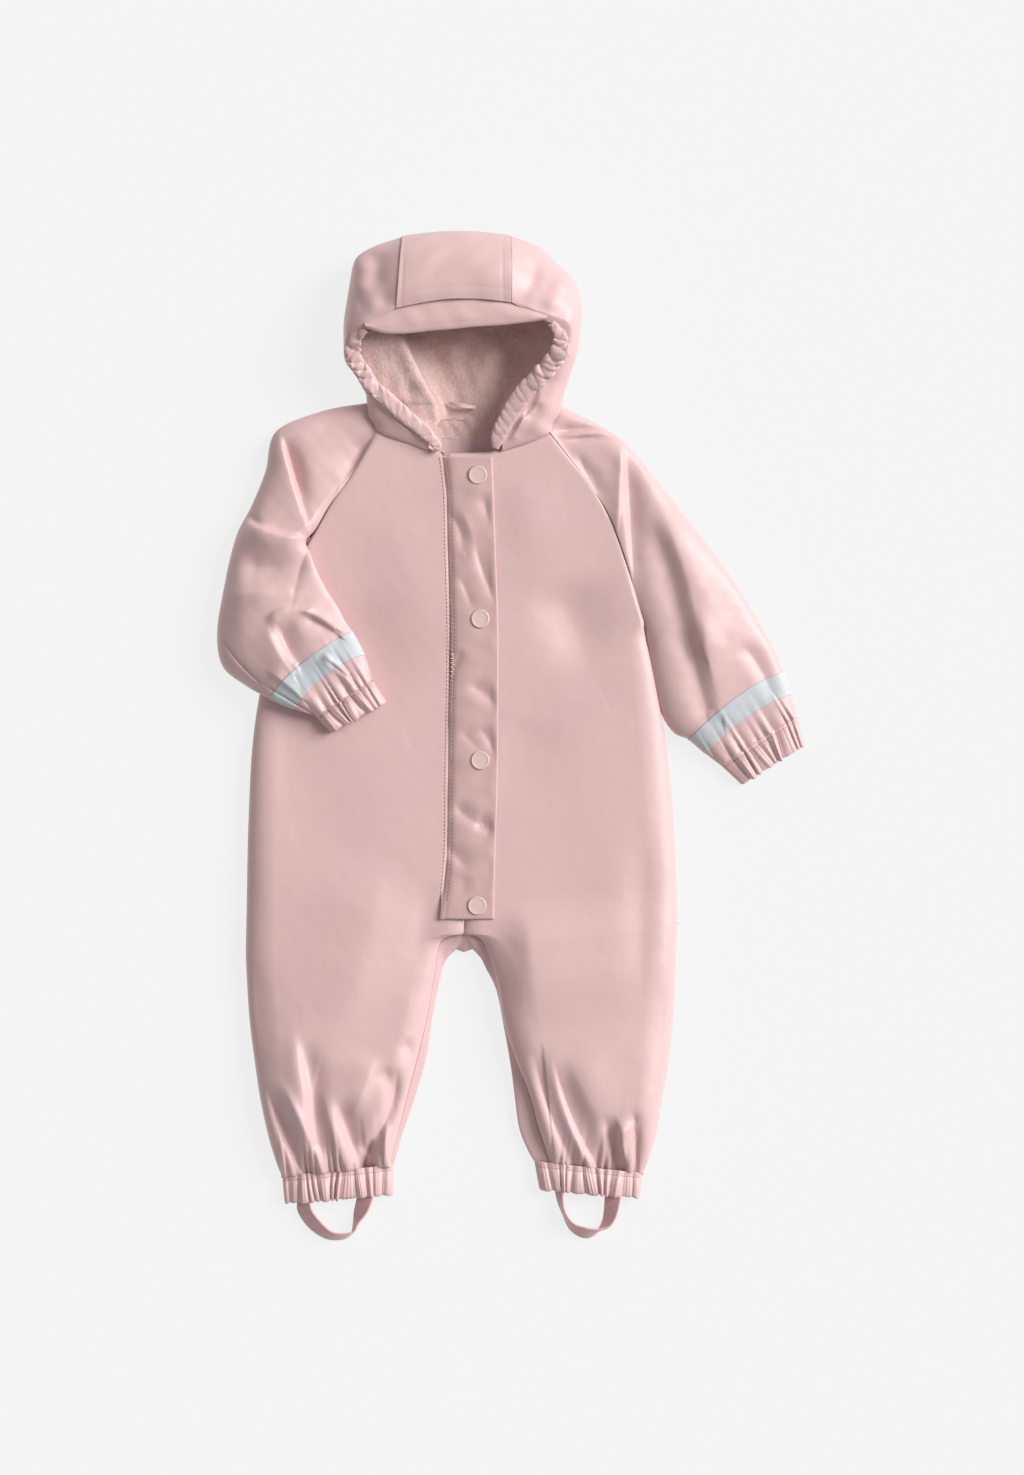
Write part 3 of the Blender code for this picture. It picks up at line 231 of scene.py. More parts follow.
# The hood's middle strip, from its front hem over the crown and under to the neck.
Strip = namedtuple("Strip", "left_x left_y right_x right_y z bow")
HOOD_CENTRE = [Strip(*row) for row in (
    (-91.6, 338.6, -0.4, 343.2, 55, 5),
    (-90.4, 352, -0.2, 355, 56.5, 5),
    (-89.2, 368, -0.2, 370, 54, 4),
    (-88, 384, -0.6, 385, 46, 3),
    (-87.2, 395, -1, 395.5, 34, 3),
    (-87, 399, -1, 399.5, 20, 3.5),
    (-87.4, 395, -0.6, 395.5, 6.5, 3),
    (-89, 386, 1, 387, 0.6, 2),
    (-97, 376, 11.5, 376, 0, 0),
    (-104, 364, 20.5, 364, 0, 0),
    (-111, 346, 31, 346, 0, 0),
    (-113, 328, 33, 328, 0, 0),
    (-112.5, 312, 32.5, 312, 0, 0),
    (-110.5, 298, 31, 298, 0, 1),
    (-109.5, 288, 31, 288, 0, 1),
    (-108, 272, 31, 272, 0, 3),
    (-106, 256, 30, 256, 0, 9),
    (-104, 246, 27, 246, 0, 0),
)]
CROWN_ROWS = 7  # the strip's rows down to where it turns under
BACK_NECK_X, BACK_NECK_Y = -38.3, 260.8  # its last row runs along the top of the backs
BACK_NECK_FLAT, BACK_NECK_SLOPE = 12.5, 0.315
NECK_TURN = (0, 1.2, -2)  # how a hood side turns in at the neck seam

# A hood side, from the centre seam round to the neck: its rim, and the outline where it folds
# under or meets the neck seam. Below, its rows end on the strip's rows, while there are any.
Side = namedtuple("Side", "rim_x rim_y rim_z fold_x fold_y fold_z")
HOOD_RIGHT = [Side(*row) for row in (
    (-99, 335.4, 54.5, -110.5, 391, 20),
    (-108, 331, 53.5, -124.5, 381, 20),
    (-117.5, 327, 51, -129.4, 360, 20),
    (-129, 320, 44, -133.6, 334, 19),
    (-132.3, 309, 37, -134, 313, 18),
    (-131, 298, 33, -132.6, 299, 17),
    (-122, 284, 31, -123.6, 288, 15),
    (-116, 274, 29, -116.8, 275, 14),
    (-104, 263, 27, -113.8, 255.4, 15),
    (-92, 252, 25.5, -106.8, 243.4, 16),
    (-78, 242.5, 23.5, -82, 233.8, 17),
    (-66, 234.5, 21, -66, 228.2, 18),
)]
HOOD_LEFT = [Side(*row) for row in (
    (8, 341, 54.5, 21, 391.5, 20),
    (19, 337, 54, 38, 376.5, 20),
    (32, 333, 52, 51.5, 362, 20),
    (45, 327, 48, 56, 346, 20),
    (47.5, 316, 43, 55.5, 328, 19),
    (43, 300, 39, 52.5, 307, 18),
    (34, 288, 36, 48, 292, 16),
    (25, 280, 33, 43, 277, 15),
    (16, 268, 30, 37.6, 257, 15),
    (8.5, 257, 27.5, 30.8, 243.4, 16),
    (1, 244, 24.5, 16, 235.6, 17),
    (-7.5, 233, 21.5, -8, 227.8, 18),
)]

# The gathered casing of the hood's rim: its middle line, its width and thickness.
Rim = namedtuple("Rim", "x y z width thick")
RIM_RIGHT = [Rim(*row) for row in (
    (-115.5, 322, 49, 5, 3.5),
    (-124, 314.5, 43, 10, 5),
    (-125.5, 303, 37, 12, 6),
    (-118, 290, 33, 12, 6),
    (-109, 277, 31, 12, 6),
    (-96, 266, 29, 12, 6),
    (-84, 255, 27, 12, 6),
    (-71.5, 245, 25, 11, 6),
    (-60.8, 234, 22.5, 8, 5),
    (-58.6, 228, 21, 5, 4),
)]
RIM_LEFT = [Rim(*row) for row in (
    (31, 327, 49.5, 5, 3.5),
    (38, 319, 45.5, 10, 5),
    (38.5, 308, 42, 14, 6),
    (31.5, 296, 39, 15, 6),
    (22, 286, 36, 15, 6),
    (12.5, 277, 33, 15, 6),
    (4, 266, 30, 15, 6),
    (-3, 254, 27, 14, 6),
    (-10, 241, 24, 12, 6),
    (-13, 230, 21.5, 6, 4),
)]
RIM_GATHERS = {"right": 14, "left": 15}

# The peak: its sewn edge and its free edge.
Peak = namedtuple("Peak", "sewn_x sewn_y free_x free_y sewn_z free_z")
PEAK = [Peak(*row) for row in (
    (-116.5, 325, -115.6, 323.8, 52.8, 52.6),
    (-106, 331.2, -101.5, 319.4, 53.6, 52),
    (-92, 337.4, -84, 319, 54.4, 51.6),
    (-69, 342.8, -65, 321, 55, 51.4),
    (-45, 345, -47, 322.4, 55.4, 51.4),
    (-24, 344.6, -30, 324.2, 55.2, 51.6),
    (-1, 342.2, -10, 325.4, 54.6, 52),
    (16, 336.6, 9, 327.4, 53.8, 52.4),
    (28.4, 331, 27.4, 329.8, 53, 52.8),
)]

# The fleece inside the hood: across each row it comes in from the rim, drops over a soft
# fold, crosses the floor and climbs the other wall.
Lining = namedtuple("Lining", "y floor_z left_x left_z fold_x fold_z floor_left floor_right "
                              "right_x right_z")
LINING = [Lining(*row) for row in (
    (387, 34, -82, 36, -78, 35, -70, -18, -6, 36),
    (391, 20, -84, 22, -78, 21, -70, -18, -4, 22),
    (386, 7.5, -84, 12, -78, 9, -70, -16, -2, 12),
    (372, 4.2, -96, 20, -88, 14, -76, -8, 12, 20),
    (352, 4.2, -108, 34, -95, 26, -80, 2, 27, 34),
    (334, 4.2, -112, 40, -92, 31, -84, 8, 32, 40),
    (318, 4.2, -113, 38, -87, 31, -79, 8, 30, 40),
    (303, 4.2, -112, 33, -80, 29, -73, 6, 25, 36),
    (290, 4.2, -108, 29, -74, 27, -67, 3, 17, 32),
    (278, 4.2, -99, 27, -67.5, 25, -61, -3, 7, 29),
    (268, 4.2, -88, 25, -61, 23, -55, -8, -1, 26),
    (261, 4.2, -80, 23, -58.6, 20, -52, -11, -5, 23),
)]

# What shows inside the neck: its sides, its height, and how far its pieces rise to their ends.
NECK_LEFT, NECK_RIGHT, NECK_Z, NECK_RISE = -56.5, -12.5, 3.8, 10
Hanger = namedtuple("Hanger", "upper_x upper_y upper_z lower_x lower_y lower_z")
HANGER = [Hanger(*row) for row in (
    (-50, 268.6, 7, -49.6, 266.4, 6.8),
    (-40, 266.8, 10, -39.4, 262.9, 11.5),
    (-28, 264.8, 7, -28.4, 262.9, 6.8),
)]

# Straps under the feet: the edge that lies on the floor and the edge that stands up.
STRAP_WALL = 1.6
Strap = namedtuple("Strap", "floor_x floor_y top_x top_y low high")
STIRRUPS = {
    "stirrup_right": [Strap(*row) for row in (
        (-171, -369, -160, -367, 3.6, 10.5), (-172, -380.5, -160, -378, 2, 12),
        (-163.4, -394, -153, -388, 0.2, 13), (-150, -403, -144.5, -396, 0.2, 13),
        (-137, -404, -136, -398, 0.2, 13), (-129, -400, -126.5, -396.5, 0.2, 13),
        (-127, -391, -122.5, -390, 0.2, 13), (-126.5, -381, -114.5, -380, 2, 12),
        (-123, -365, -108, -363, 3.6, 10.5),
    )],
    "stirrup_left": [Strap(*row) for row in (
        (34, -359, 42, -360, 3.6, 10.5), (37, -373, 41.5, -373, 2, 12),
        (41, -383, 43.5, -382, 0.2, 13), (47, -396, 49.5, -389.5, 0.2, 13),
        (57, -402.6, 58, -392.6, 0.2, 13), (66, -401, 68, -394.5, 0.2, 13),
        (72, -392, 78, -393, 0.2, 13), (74, -382, 84.5, -384, 2, 12),
        (75, -364, 89, -365, 3.6, 10.5),
    )],
}

# A crease runs from a to b, bowed by sag to the left of that line. It falls away over near on
# that side and far on the other. Height is above 0 for a ridge and below 0 for a trough, and
# end is the share of it that is left at b.
Crease = namedtuple("Crease", "ax ay bx by sag near far height end")
CREASES_FRONT_RIGHT = [Crease(*row) for row in (
    (-169, -236, -154.8, -326, 2, 11, 5, -5, 0.6),
    (-175.5, -228, -163, -322, 2, 4, 12, 3, 0.5),
    (-151.8, -276, -129.5, -352, -2, 10, 5, 4.2, 0.9),
    (-141, -286, -117, -350, -2, 11, 3, -7.4, 0.9),
    (-108, -250, -132, -312, 2, 6, 18, 3.4, 0.1),
    (-104, -262, -94.6, -290, 2, 6, 9, -3, 0.6),
    (-90.6, -262, -115, -330, 6, 9, 4, -7, 0.8),
    (-112, -320, -124, -354, 2, 7, 3, -5.4, 0.9),
    (-197.4, -276, -165, -354, -2, 10, 3, -6.4, 0.8),
    (-186, -272, -150, -354, 3, 4, 9, 4.4, 0.8),
    (-99, -302, -103, -352, 0, 5, 4, 3.6, 0.8),
    (-86, -240, -76, -262, 0, 6, 6, -2.4, 0.3),
    (-206, -170, -199, -270, 0, 12, 6, -1.6, 0.4),
    (-144, 116, -92, 14, 3, 32, 24, -4.6, 0.1),
    (-200, -282, -88, -276, 0, 70, 40, 4, 1),
    (-106, -90, -150, -250, 8, 24, 46, 5.4, 0.3),
    (-184, 66, -176, -60, 0, 26, 14, -1.6, 0.2),
    (-62, -110, -78, -200, 0, 16, 12, -2.4, 0.3),
    (-96, 190, -70, 90, 0, 26, 26, 1.4, 0.2),
)]
CREASES_FRONT_LEFT = [Crease(*row) for row in (
    (17, -246, 54, -350, -5, 12, 5, -5, 0.9),
    (31, -246, 64, -350, -4, 9, 5, 3.4, 0.9),
    (32.6, -250, 73, -350, -6, 14, 3.4, -6.6, 0.9),
    (46, -250, 80, -318, -4, 26, 10, 3.4, 0.3),
    (74, -300, 86, -354, 0, 14, 3.6, -7, 1),
    (84, -300, 94, -354, 0, 6, 3, 5.4, 0.8),
    (84.4, -317, 97, -310, 0, 3, 6, 3, 0.6),
    (97, -296, 101, -350, 0, 6, 3, -5, 0.9),
    (124, -180, 117, -276, 0, 6, 12, -1.8, 0.4),
    (12, -128, 24, -240, 0, 100, 18, 8, 0.2),
    (106, -60, 104, -236, 0, 16, 14, -2.4, 0.2),
    (28, 128, 66, 46, 4, 28, 22, -6, 0.2),
    (6, 214, 22, 140, 0, 26, 20, 1.6, 0.2),
    (20, 20, -10, -60, 0, 30, 26, -1.8, 0.2),
)]
CREASES_SLEEVE_RIGHT = [Crease(*row) for row in (
    (-187.6, 249, -158, 155, -1.3, 0.8, 15, 2.6, 0.9),
    (-184, 243, -165.5, 178, 0.5, 8, 1, -9, 0.2),
    (-110, 240, -136, 202, 0, 2.5, 16, -4, 0.3),
    (-222, 178, -156, 157, -5.5, 2, 15, 6.6, 0.9),
    (-219, 196, -196, 162, -1.5, 3, 8, -4.6, 0),
    (-221, 138, -170, 134, -2, 11, 15, -6.4, 0.5),
    (-231.6, 112, -178, 115, 1, 5, 11, 3.6, 0.4),
    (-197, 90, -166, 100, 5, 2, 9, 3.6, 0.7),
    (-172, 102, -141, 86, 2, 7, 2, 3.4, 0.6),
    (-169, 97, -138, 80, 2, 2, 7, -4.4, 0.6),
    (-187, 92, -172, 60, -2, 12, 2, -6.6, 0.4),
    (-196, 94, -174, 50, -3, 2, 12, 2.2, 0.7),
    (-235, 84, -200, 42.5, -2.5, 0.9, 0.9, -3, 1),
    (-202, 44, -157, 17, 0, 0.9, 0.9, -3, 1),
    (-151, 67, -130, 50, 0, 1.2, 6, 4.4, 0.8),
    (-149, 62, -129, 46, 0, 6, 1.2, -2.6, 0.8),
    (-197, 54, -166, 30, 1, 5, 1.6, 3, 0.6),
    (-229, 124, -214, 66, 4, 12, 8, 1.6, 0.3),
    (-163, 196, -116, 56, -6, 6, 80, 5, 0.8),
)]
CREASES_SLEEVE_LEFT = [Crease(*row) for row in (
    (89.4, 246, 84.6, 166, 0.5, 1.2, 6, 2.6, 0.4),
    (91.6, 242, 99, 112, -1, 11, 2.5, -5.4, 0.25),
    (116, 190, 150, 78, 5, 22, 9, 5.4, 0.8),
    (104, 184, 138, 76, 5, 8, 12, -2.6, 0.7),
    (151, 110, 168, 20, -2, 18, 8, 4.6, 0.6),
    (140, 100, 156, 22, -2, 5, 9, -2.6, 0.7),
    (30.8, 242.5, 76, 247.5, 1, 4.5, 2, -4.4, 0.3),
    (38, 235.5, 88, 239, 1, 5, 2, -4, 0.3),
    (36, 238.6, 80, 243, 1, 2.6, 2.6, 2.4, 0.3),
    (180, 78, 208, 36, 3, 9, 6, -3.4, 0.6),
    (156, 160, 204, 80, 6, 26, 12, 2.6, 0.3),
    (52, 228, 66, 196, 0, 4, 6, -2.2, 0.3),
    (62, 220, 72, 180, 0, 7, 7, -1.8, 0.3),
)]
CREASES_FLAP = [Crease(*row) for row in (
    (-50.5, 180, -39, 150, 3, 8, 4, -2.6, 0.4),
    (-42, 184, -30, 150, 2, 4, 8, 1.6, 0.4),
    (-30.2, 160, -13, 108, -2, 7, 3.5, -2.4, 0.5),
    (-43.1, 130, -31, 100, 1, 7, 3, -1.9, 0.3),
    (-25.2, 196, -15.4, 166, 0, 6, 4, -1.4, 0.2),
    (-38.6, 72, -49, 46, 0, 4, 7, -2, 0.5),
    (-37, 44, -11.4, 25, 1, 8, 5, -2.4, 0.8),
    (-42.2, 5, -23, -12, 0, 7, 4, -1.8, 0.4),
    (-27, 9, -11.4, -16, 1, 7, 4, -2.2, 0.8),
    (-47, -51, -27.4, -70, -2, 8, 4, -2.4, 1),
    (-29.4, -69, -12, -75, -1, 8, 4, -2.4, 0.9),
    (-53, -85, -31, -109, -1, 8, 5, -2.4, 0.2),
    (-36.4, -110, -40, -130, 0, 8, 6, -1.4, 0.2),
)]
CREASES_HOOD_STITCHES = [Crease(*row) for row in (
    (-84.2, 400, -87.6, 336, 0, 1, 1, -0.4, 1),
    (-7.6, 400, -6.4, 340, 0, 1, 1, -0.4, 1),
    (-94, 349, 2, 353, 4, 1, 1, -0.4, 1),
    (-60, 386, -36, 362, 0, 16, 12, -1.2, 0.2),
)]
CREASES_HOOD_LEFT = [Crease(*row) for row in (
    (46, 335, 22, 268, -6, 5, 8, 4, 0.6),
    (38, 316, 12, 258, -5, 5, 4, -5.2, 0.7),
    (50, 300, 34, 244, -4, 5, 5, -2.4, 0.4),
    (20, 262, 2, 240, -2, 4, 4, 3.6, 0.5),
    (12, 388, 20, 350, 0, 8, 8, -2, 0.3),
)]
CREASES_HOOD_RIGHT = [Crease(*row) for row in (
    (-118, 284, -96, 252, 3, 6, 5, -4.4, 0.3),
    (-110, 268, -76, 240, 2, 5, 5, 3.2, 0.4),
    (-128, 356, -116, 336, 0, 6, 6, -2.4, 0.3),
    (-108, 388, -100, 350, 0, 8, 8, -2, 0.3),
)]
CREASES_LINING = [Crease(*row) for row in (
    (-92, 330, -62, 262, 5, 6, 10, 4.5, 0.3),
    (-78, 330, -50, 274, 5, 12, 6, -4.5, 0.3),
    (-60, 328, -40, 280, 4, 9, 10, 3.3, 0.2),
    (-24, 326, -44, 276, -4, 10, 9, -2.4, 0.2),
    (-6, 322, -30, 272, -4, 9, 9, 3.6, 0.2),
    (16, 318, -10, 268, -5, 8, 7, -4.5, 0.3),
)]


# ---------------------------------------------------------------- reading tables
def smooth(rows, at):
    """Reads rows of numbers at in-between places, on one smooth curve through them all."""
    rows = np.asarray(rows, float)
    at = np.asarray(at, float)
    last = len(rows) - 1
    first = np.clip(at.astype(int), 0, last - 1)
    step = (at - first).reshape((-1,) + (1,) * (rows.ndim - 1))
    before, here, there, after = (rows[np.clip(first + k, 0, last)] for k in (-1, 0, 1, 2))
    leave, arrive = (there - before) / 2, (after - here) / 2
    bend = 3 * (there - here) - 2 * leave - arrive
    turn = leave + arrive - 2 * (there - here)
    return here + step * (leave + step * (bend + step * turn))


def spread(table, count):
    """So many rows of a table, evenly from its first to its last."""
    return smooth(table, np.linspace(0, len(table) - 1, count))


def between(start, end, share):
    """What is a share of the way from start to end."""
    return start + (end - start) * share


def unit(vectors):
    """The same directions, each with a length of 1."""
    return vectors / np.linalg.norm(vectors, axis=-1, keepdims=True)


def from_line(points, start, end):
    """In plan, how far points are along a line and to the left of it, and the line's length."""
    run = np.array(end) - np.array(start)
    length = math.hypot(*run)
    off = points[..., :2] - np.array(start)
    return off @ run / length, off @ np.array([-run[1], run[0]]) / length, length


def lengths(points):
    """How far along a line of points each one is."""
    steps = np.linalg.norm(np.diff(points, axis=0), axis=1)
    return np.concatenate([[0], np.cumsum(steps)])


def evenly(points, count):
    """Points spread evenly along the smooth curve through the given ones."""
    fine = spread(points, 16 * len(points))
    along = lengths(fine)
    want = np.linspace(0, along[-1], count)
    return np.stack([np.interp(want, along, fine[:, axis])
                     for axis in range(fine.shape[1])], axis=1)


def places(table, ends, step):
    """Where to read a table, so that the ends of its rows move about a step each time."""
    at = np.linspace(0, len(table) - 1, 24 * len(table))
    rows = smooth(table, at)
    along = sum(lengths(rows[:, k:k + 2]) for k in ends) / len(ends)
    return np.interp(np.linspace(0, along[-1], int(along[-1] / step) + 2), along, at)


def finer(grid, rows, columns):
    """A coarse grid of points with more of them, on smooth curves both ways."""
    return spread(spread(grid, rows).swapaxes(0, 1), columns).swapaxes(0, 1)


def crowded(count, pull=0.55):
    """Shares from 0 to 1, closer together near both ends."""
    share = np.linspace(0, 1, count)
    return share - pull * np.sin(2 * math.pi * share) / (2 * math.pi)


def curl(distance, roll):
    """How far cloth has risen, 0 to 1, at a distance from an edge that it curls down to."""
    return np.sqrt(1 - (1 - np.clip(distance / roll, 0, 1)) ** 2)


def eased(value):
    """From 0 to 1, slowly at both ends."""
    value = np.clip(value, 0, 1)
    return value * value * (3 - 2 * value)


def uneven(grid, size, seed):
    """Soft unevenness, about -1 to 1, whose humps are about a size apart."""
    rng = np.random.default_rng(seed)
    total = np.zeros(grid.shape[:-1])
    for angle, phase, scale in rng.uniform((0, 0, 0.7), (math.pi, 2 * math.pi, 1.5), (7, 3)):
        wave = grid[..., 0] * math.cos(angle) + grid[..., 1] * math.sin(angle)
        total += np.sin(2 * math.pi * wave / (size * scale) + phase)
    return total / 7 ** 0.5


def unevenness(grid, layers, seed):
    """Layers of soft unevenness, each with its size and its height."""
    return sum(height * uneven(grid, size, seed + number)
               for number, (size, height) in enumerate(layers))


def creased(grid, creases, cover):
    """The same points with each crease, or its cover share, pressed into their height.

    A narrow crease is sharp along its line, and a wide one is round.
    """
    lift = np.zeros(grid.shape[:-1])
    for crease in creases:
        along, away, length = from_line(grid, (crease.ax, crease.ay), (crease.bx, crease.by))
        share = np.clip(along / length, 0, 1)
        away = away - crease.sag * 4 * share * (1 - share)
        width = np.where(away > 0, crease.near, crease.far)
        past = along - share * length
        soft = 1.15 + 0.06 * np.minimum(width, 12)
        shape = np.exp(-(np.abs(away) / width) ** soft - (past / (0.8 * width)) ** 2)
        fade = eased(share / 0.35) * (1 - (1 - crease.end) * eased((share - 0.55) / 0.45))
        lift += crease.height * shape * fade
    grid = grid.copy()
    grid[..., 2] += cover * lift
    return grid


def gathers(share, count, seed, sharp=0.8):
    """Uneven ridges, 0 to 1, between the pinches that an elastic makes along a seam."""
    rng = np.random.default_rng(seed)
    pinches = np.concatenate([[0], np.cumsum(rng.uniform(0.45, 1.6, count))])
    heights = rng.uniform(0.35, 1, count)
    lean = rng.uniform(0.65, 1.6, count)
    place = np.interp(share, pinches / pinches[-1], np.arange(count + 1))
    number = np.clip(place.astype(int), 0, count - 1)
    return heights[number] * np.sin(math.pi * (place - number) ** lean[number]) ** sharp


def normals(grid):
    """The direction in which a grid of points faces, at each point."""
    across = np.cross(np.gradient(grid, axis=0), np.gradient(grid, axis=1))
    return across / np.maximum(np.linalg.norm(across, axis=-1, keepdims=True), 1e-9)


def closed(loops):
    """Loops of points that end on the point they begin with."""
    return np.concatenate([loops, loops[:, :1]], axis=1)


# ---------------------------------------------------------------- making pieces
STITCH_LIFT = 0.12  # a stitch's middle above the cloth


def fit_uv(mesh, points):
    """Sets the UV map to distances along the cloth, in metres."""
    across = np.mean([lengths(row) for row in points], axis=0) * MM
    along = np.mean([lengths(column) for column in points.swapaxes(0, 1)], axis=0) * MM
    uv = np.stack(np.meshgrid(across, along), axis=-1).reshape(-1, 2)
    corners = np.empty(len(mesh.loops), int)
    mesh.loops.foreach_get("vertex_index", corners)
    mesh.uv_layers.new(name="cloth").data.foreach_set("uv", uv[corners].ravel())


def finished(name, mesh, finish, node=None):
    """Adds a mesh to the scene with its finish, on the part's body."""
    mesh.materials.append(finish)
    mesh.shade_smooth()
    piece = bpy.data.objects.new(name, mesh)
    bpy.context.scene.collection.objects.link(piece)
    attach(piece, "root")
    if node:
        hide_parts(node)
    return piece


def cloth(node, kind, points, wall, finish, flip=False, ring=False, capped=False):
    """A wall of cloth in place of a node, whose outer face is a grid of points.

    A ring joins its two sides, and capped closes its ends.
    """
    name = f"{node}_{kind}"
    rows, columns = points.shape[:2]
    bm = bmesh.new()
    bmesh.ops.create_grid(bm, x_segments=columns - 1, y_segments=rows - 1, size=1)
    bm.verts.ensure_lookup_table()
    for vert, place in zip(bm.verts, points.reshape(-1, 3) * MM):
        vert.co = place
    mesh = bpy.data.meshes.new(name)
    bm.to_mesh(mesh)
    bm.free()
    fit_uv(mesh, points)
    bm = bmesh.new()
    bm.from_mesh(mesh)
    if ring:
        bmesh.ops.remove_doubles(bm, verts=bm.verts, dist=0.000005)
    if capped:
        ends = [edge for edge in bm.edges if edge.is_boundary]
        bmesh.ops.holes_fill(bm, edges=ends, sides=0)
        bmesh.ops.recalc_face_normals(bm, faces=bm.faces)
    elif flip:
        bmesh.ops.reverse_faces(bm, faces=bm.faces)
    bm.to_mesh(mesh)
    bm.free()
    piece = finished(name, mesh, finish, node)
    if wall:
        grow = piece.modifiers.new("wall", "SOLIDIFY")
        grow.thickness = wall * MM
        grow.offset = -1
    return piece


def tube(node, kind, points, finish):
    """A closed roll or slab: a loop of points at each station along it."""
    return cloth(node, kind, closed(points), 0, finish, ring=True, capped=True)


def cut(points):
    """Works out the flat length of a grid of points along its columns, and does nothing more with
    it.
    """
    along = max(lengths(column)[-1] for column in points.swapaxes(0, 1)) * MM


def prototype(bm):
    """The corners and the faces of a small shape."""
    bm.verts.index_update()
    corners = np.array([vert.co for vert in bm.verts])
    sides = [[vert.index for vert in face.verts] for face in bm.faces]
    bm.free()
    return corners, sides


def joined(name, copies, sides, finish):
    """One piece of many small shapes, which all have the same faces."""
    faces = [[number * len(copy) + corner for corner in side]
             for number, copy in enumerate(copies) for side in sides]
    mesh = bpy.data.meshes.new(name)
    mesh.from_pydata((np.concatenate(copies) * MM).tolist(), [], faces)
    return finished(name, mesh, finish)


def stitches(name, runs, finish, pitch=3.1, length=2.3, thread=0.7):
    """Rows of sewing: each run is a line of points on the cloth."""
    bm = bmesh.new()
    bmesh.ops.create_uvsphere(bm, u_segments=6, v_segments=4, radius=0.5)
    corners, sides = prototype(bm)
    corners = corners * (thread, thread, length)
    copies = []
    for run in runs:
        path = evenly(run, max(int(lengths(np.asarray(run))[-1] / pitch), 2) + 1)
        for place, way in zip((path[1:] + path[:-1]) / 2, unit(np.diff(path, axis=0))):
            side = unit(np.cross(way, (0, 0, 1)))
            copies.append(place + corners @ np.array([side, np.cross(side, way), way]))
    joined(name, copies, sides, finish)


def on_cloth(line, grid):
    """A line of plan points, laid on a grid of points."""
    plan = evenly(line, max(int(lengths(np.asarray(line, float))[-1] / 2), 3))
    flat = grid.reshape(-1, 3)
    heights = []
    for x, y in plan:
        away = np.hypot(flat[:, 0] - x, flat[:, 1] - y)
        close = np.argpartition(away, 4)[:4]
        weight = 1 / (away[close] + 0.05) ** 2
        heights.append((flat[close, 2] * weight).sum() / weight.sum() + STITCH_LIFT)
    return np.column_stack([plan, heights])


# ---------------------------------------------------------------- finishes
def srgb(code):
    """A six-digit sRGB colour as linear red, green, blue and alpha."""
    parts = [int(code[k:k + 2], 16) / 255 for k in (0, 2, 4)]
    return tuple(p / 12.92 if p <= 0.04045 else ((p + 0.055) / 1.055) ** 2.4
                 for p in parts) + (1,)


def node(tree, kind, inputs, **settings):
    """Adds a shader node with its settings, and sets or joins its inputs."""
    made = tree.nodes.new(kind)
    for name, value in settings.items():
        setattr(made, name, value)
    for name, value in inputs.items():
        if isinstance(value, bpy.types.NodeSocket):
            tree.links.new(value, made.inputs[name])
        else:
            made.inputs[name].default_value = value
    return made


def finish_of(name, colour, deep, patch, roughness, sheen, bumps, specular=0.5, uv=False):
    """A finish whose colour drifts between two over patches of a size, with layers of bump.

    Each bump is the size of its grain and its depth, both in metres.
    """
    material = bpy.data.materials.new(name)
    material.use_nodes = True
    tree = material.node_tree
    shader = tree.nodes["Principled BSDF"]
    place = node(tree, "ShaderNodeTexCoord", {}).outputs["UV" if uv else "Object"]
    drift = node(tree, "ShaderNodeTexNoise", {"Vector": place, "Scale": 1 / patch, "Detail": 2})
    tint = node(tree, "ShaderNodeMix", {"Factor": drift.outputs["Fac"], "A": srgb(deep),
                                        "B": srgb(colour)}, data_type="RGBA")
    tree.links.new(tint.outputs["Result"], shader.inputs["Base Color"])
    shader.inputs["Roughness"].default_value = roughness
    shader.inputs["Specular IOR Level"].default_value = specular
    shader.inputs["Sheen Weight"].default_value = sheen
    normal = None
    for size, depth in bumps:
        grain = node(tree, "ShaderNodeTexNoise", {"Vector": place, "Scale": 1 / size,
                                                  "Detail": 3})
        inputs = {"Height": grain.outputs["Fac"], "Distance": depth, "Strength": 1.0}
        if normal:
            inputs["Normal"] = normal
        normal = node(tree, "ShaderNodeBump", inputs).outputs["Normal"]
    tree.links.new(normal, shader.inputs["Normal"])
    return material


# The coated knit's bumps: a fine grain, and a softer unevenness.
KNIT = ((0.0012, 0.00006), (0.012, 0.0003))


def finishes():
    """Every finish, by the name that the pieces use."""
    return {
        # polyurethane coating on a knit: soft satin with a fine grain
        "shell": finish_of("polyurethane-coated knit", "dcbab7", "d5b1b1", 0.09, 0.45, 0.1, KNIT),
        # the same cloth on the flap, in two layers, coloured darker as painted shade of its folds
        "painted_shade": finish_of("polyurethane-coated knit, double", "d1aeab", "caa5a4", 0.07, 0.45,
                            0.1, KNIT),
        # brushed polyester fleece
        "fleece": finish_of("brushed micro fleece", "eccdc8", "c59e99", 0.0022, 1.0, 0.7,
                            ((0.0016, 0.0006), (0.006, 0.0007)), 0.1),
        # glass-bead film
        "film": finish_of("glass-bead reflective film", "c8cbce", "bfc2c6", 0.05, 0.55, 0.0,
                          ((0.0006, 0.00003), (0.01, 0.0002))),
        # spun polyester
        "thread": finish_of("spun polyester thread", "b07c7c", "a57272", 0.01, 0.7, 0.2,
                            ((0.0004, 0.00005),)),
        # moulded acetal
        "moulded": finish_of("moulded acetal", "e0c2be", "dbbbb7", 0.02, 0.32, 0.0,
                             ((0.004, 0.00002),)),
        # woven elastic band
        "elastic": finish_of("woven elastic", "e2b6b9", "d8a9ad", 0.004, 0.8, 0.4,
                             ((0.0012, 0.0003),), 0.3, True),
    }


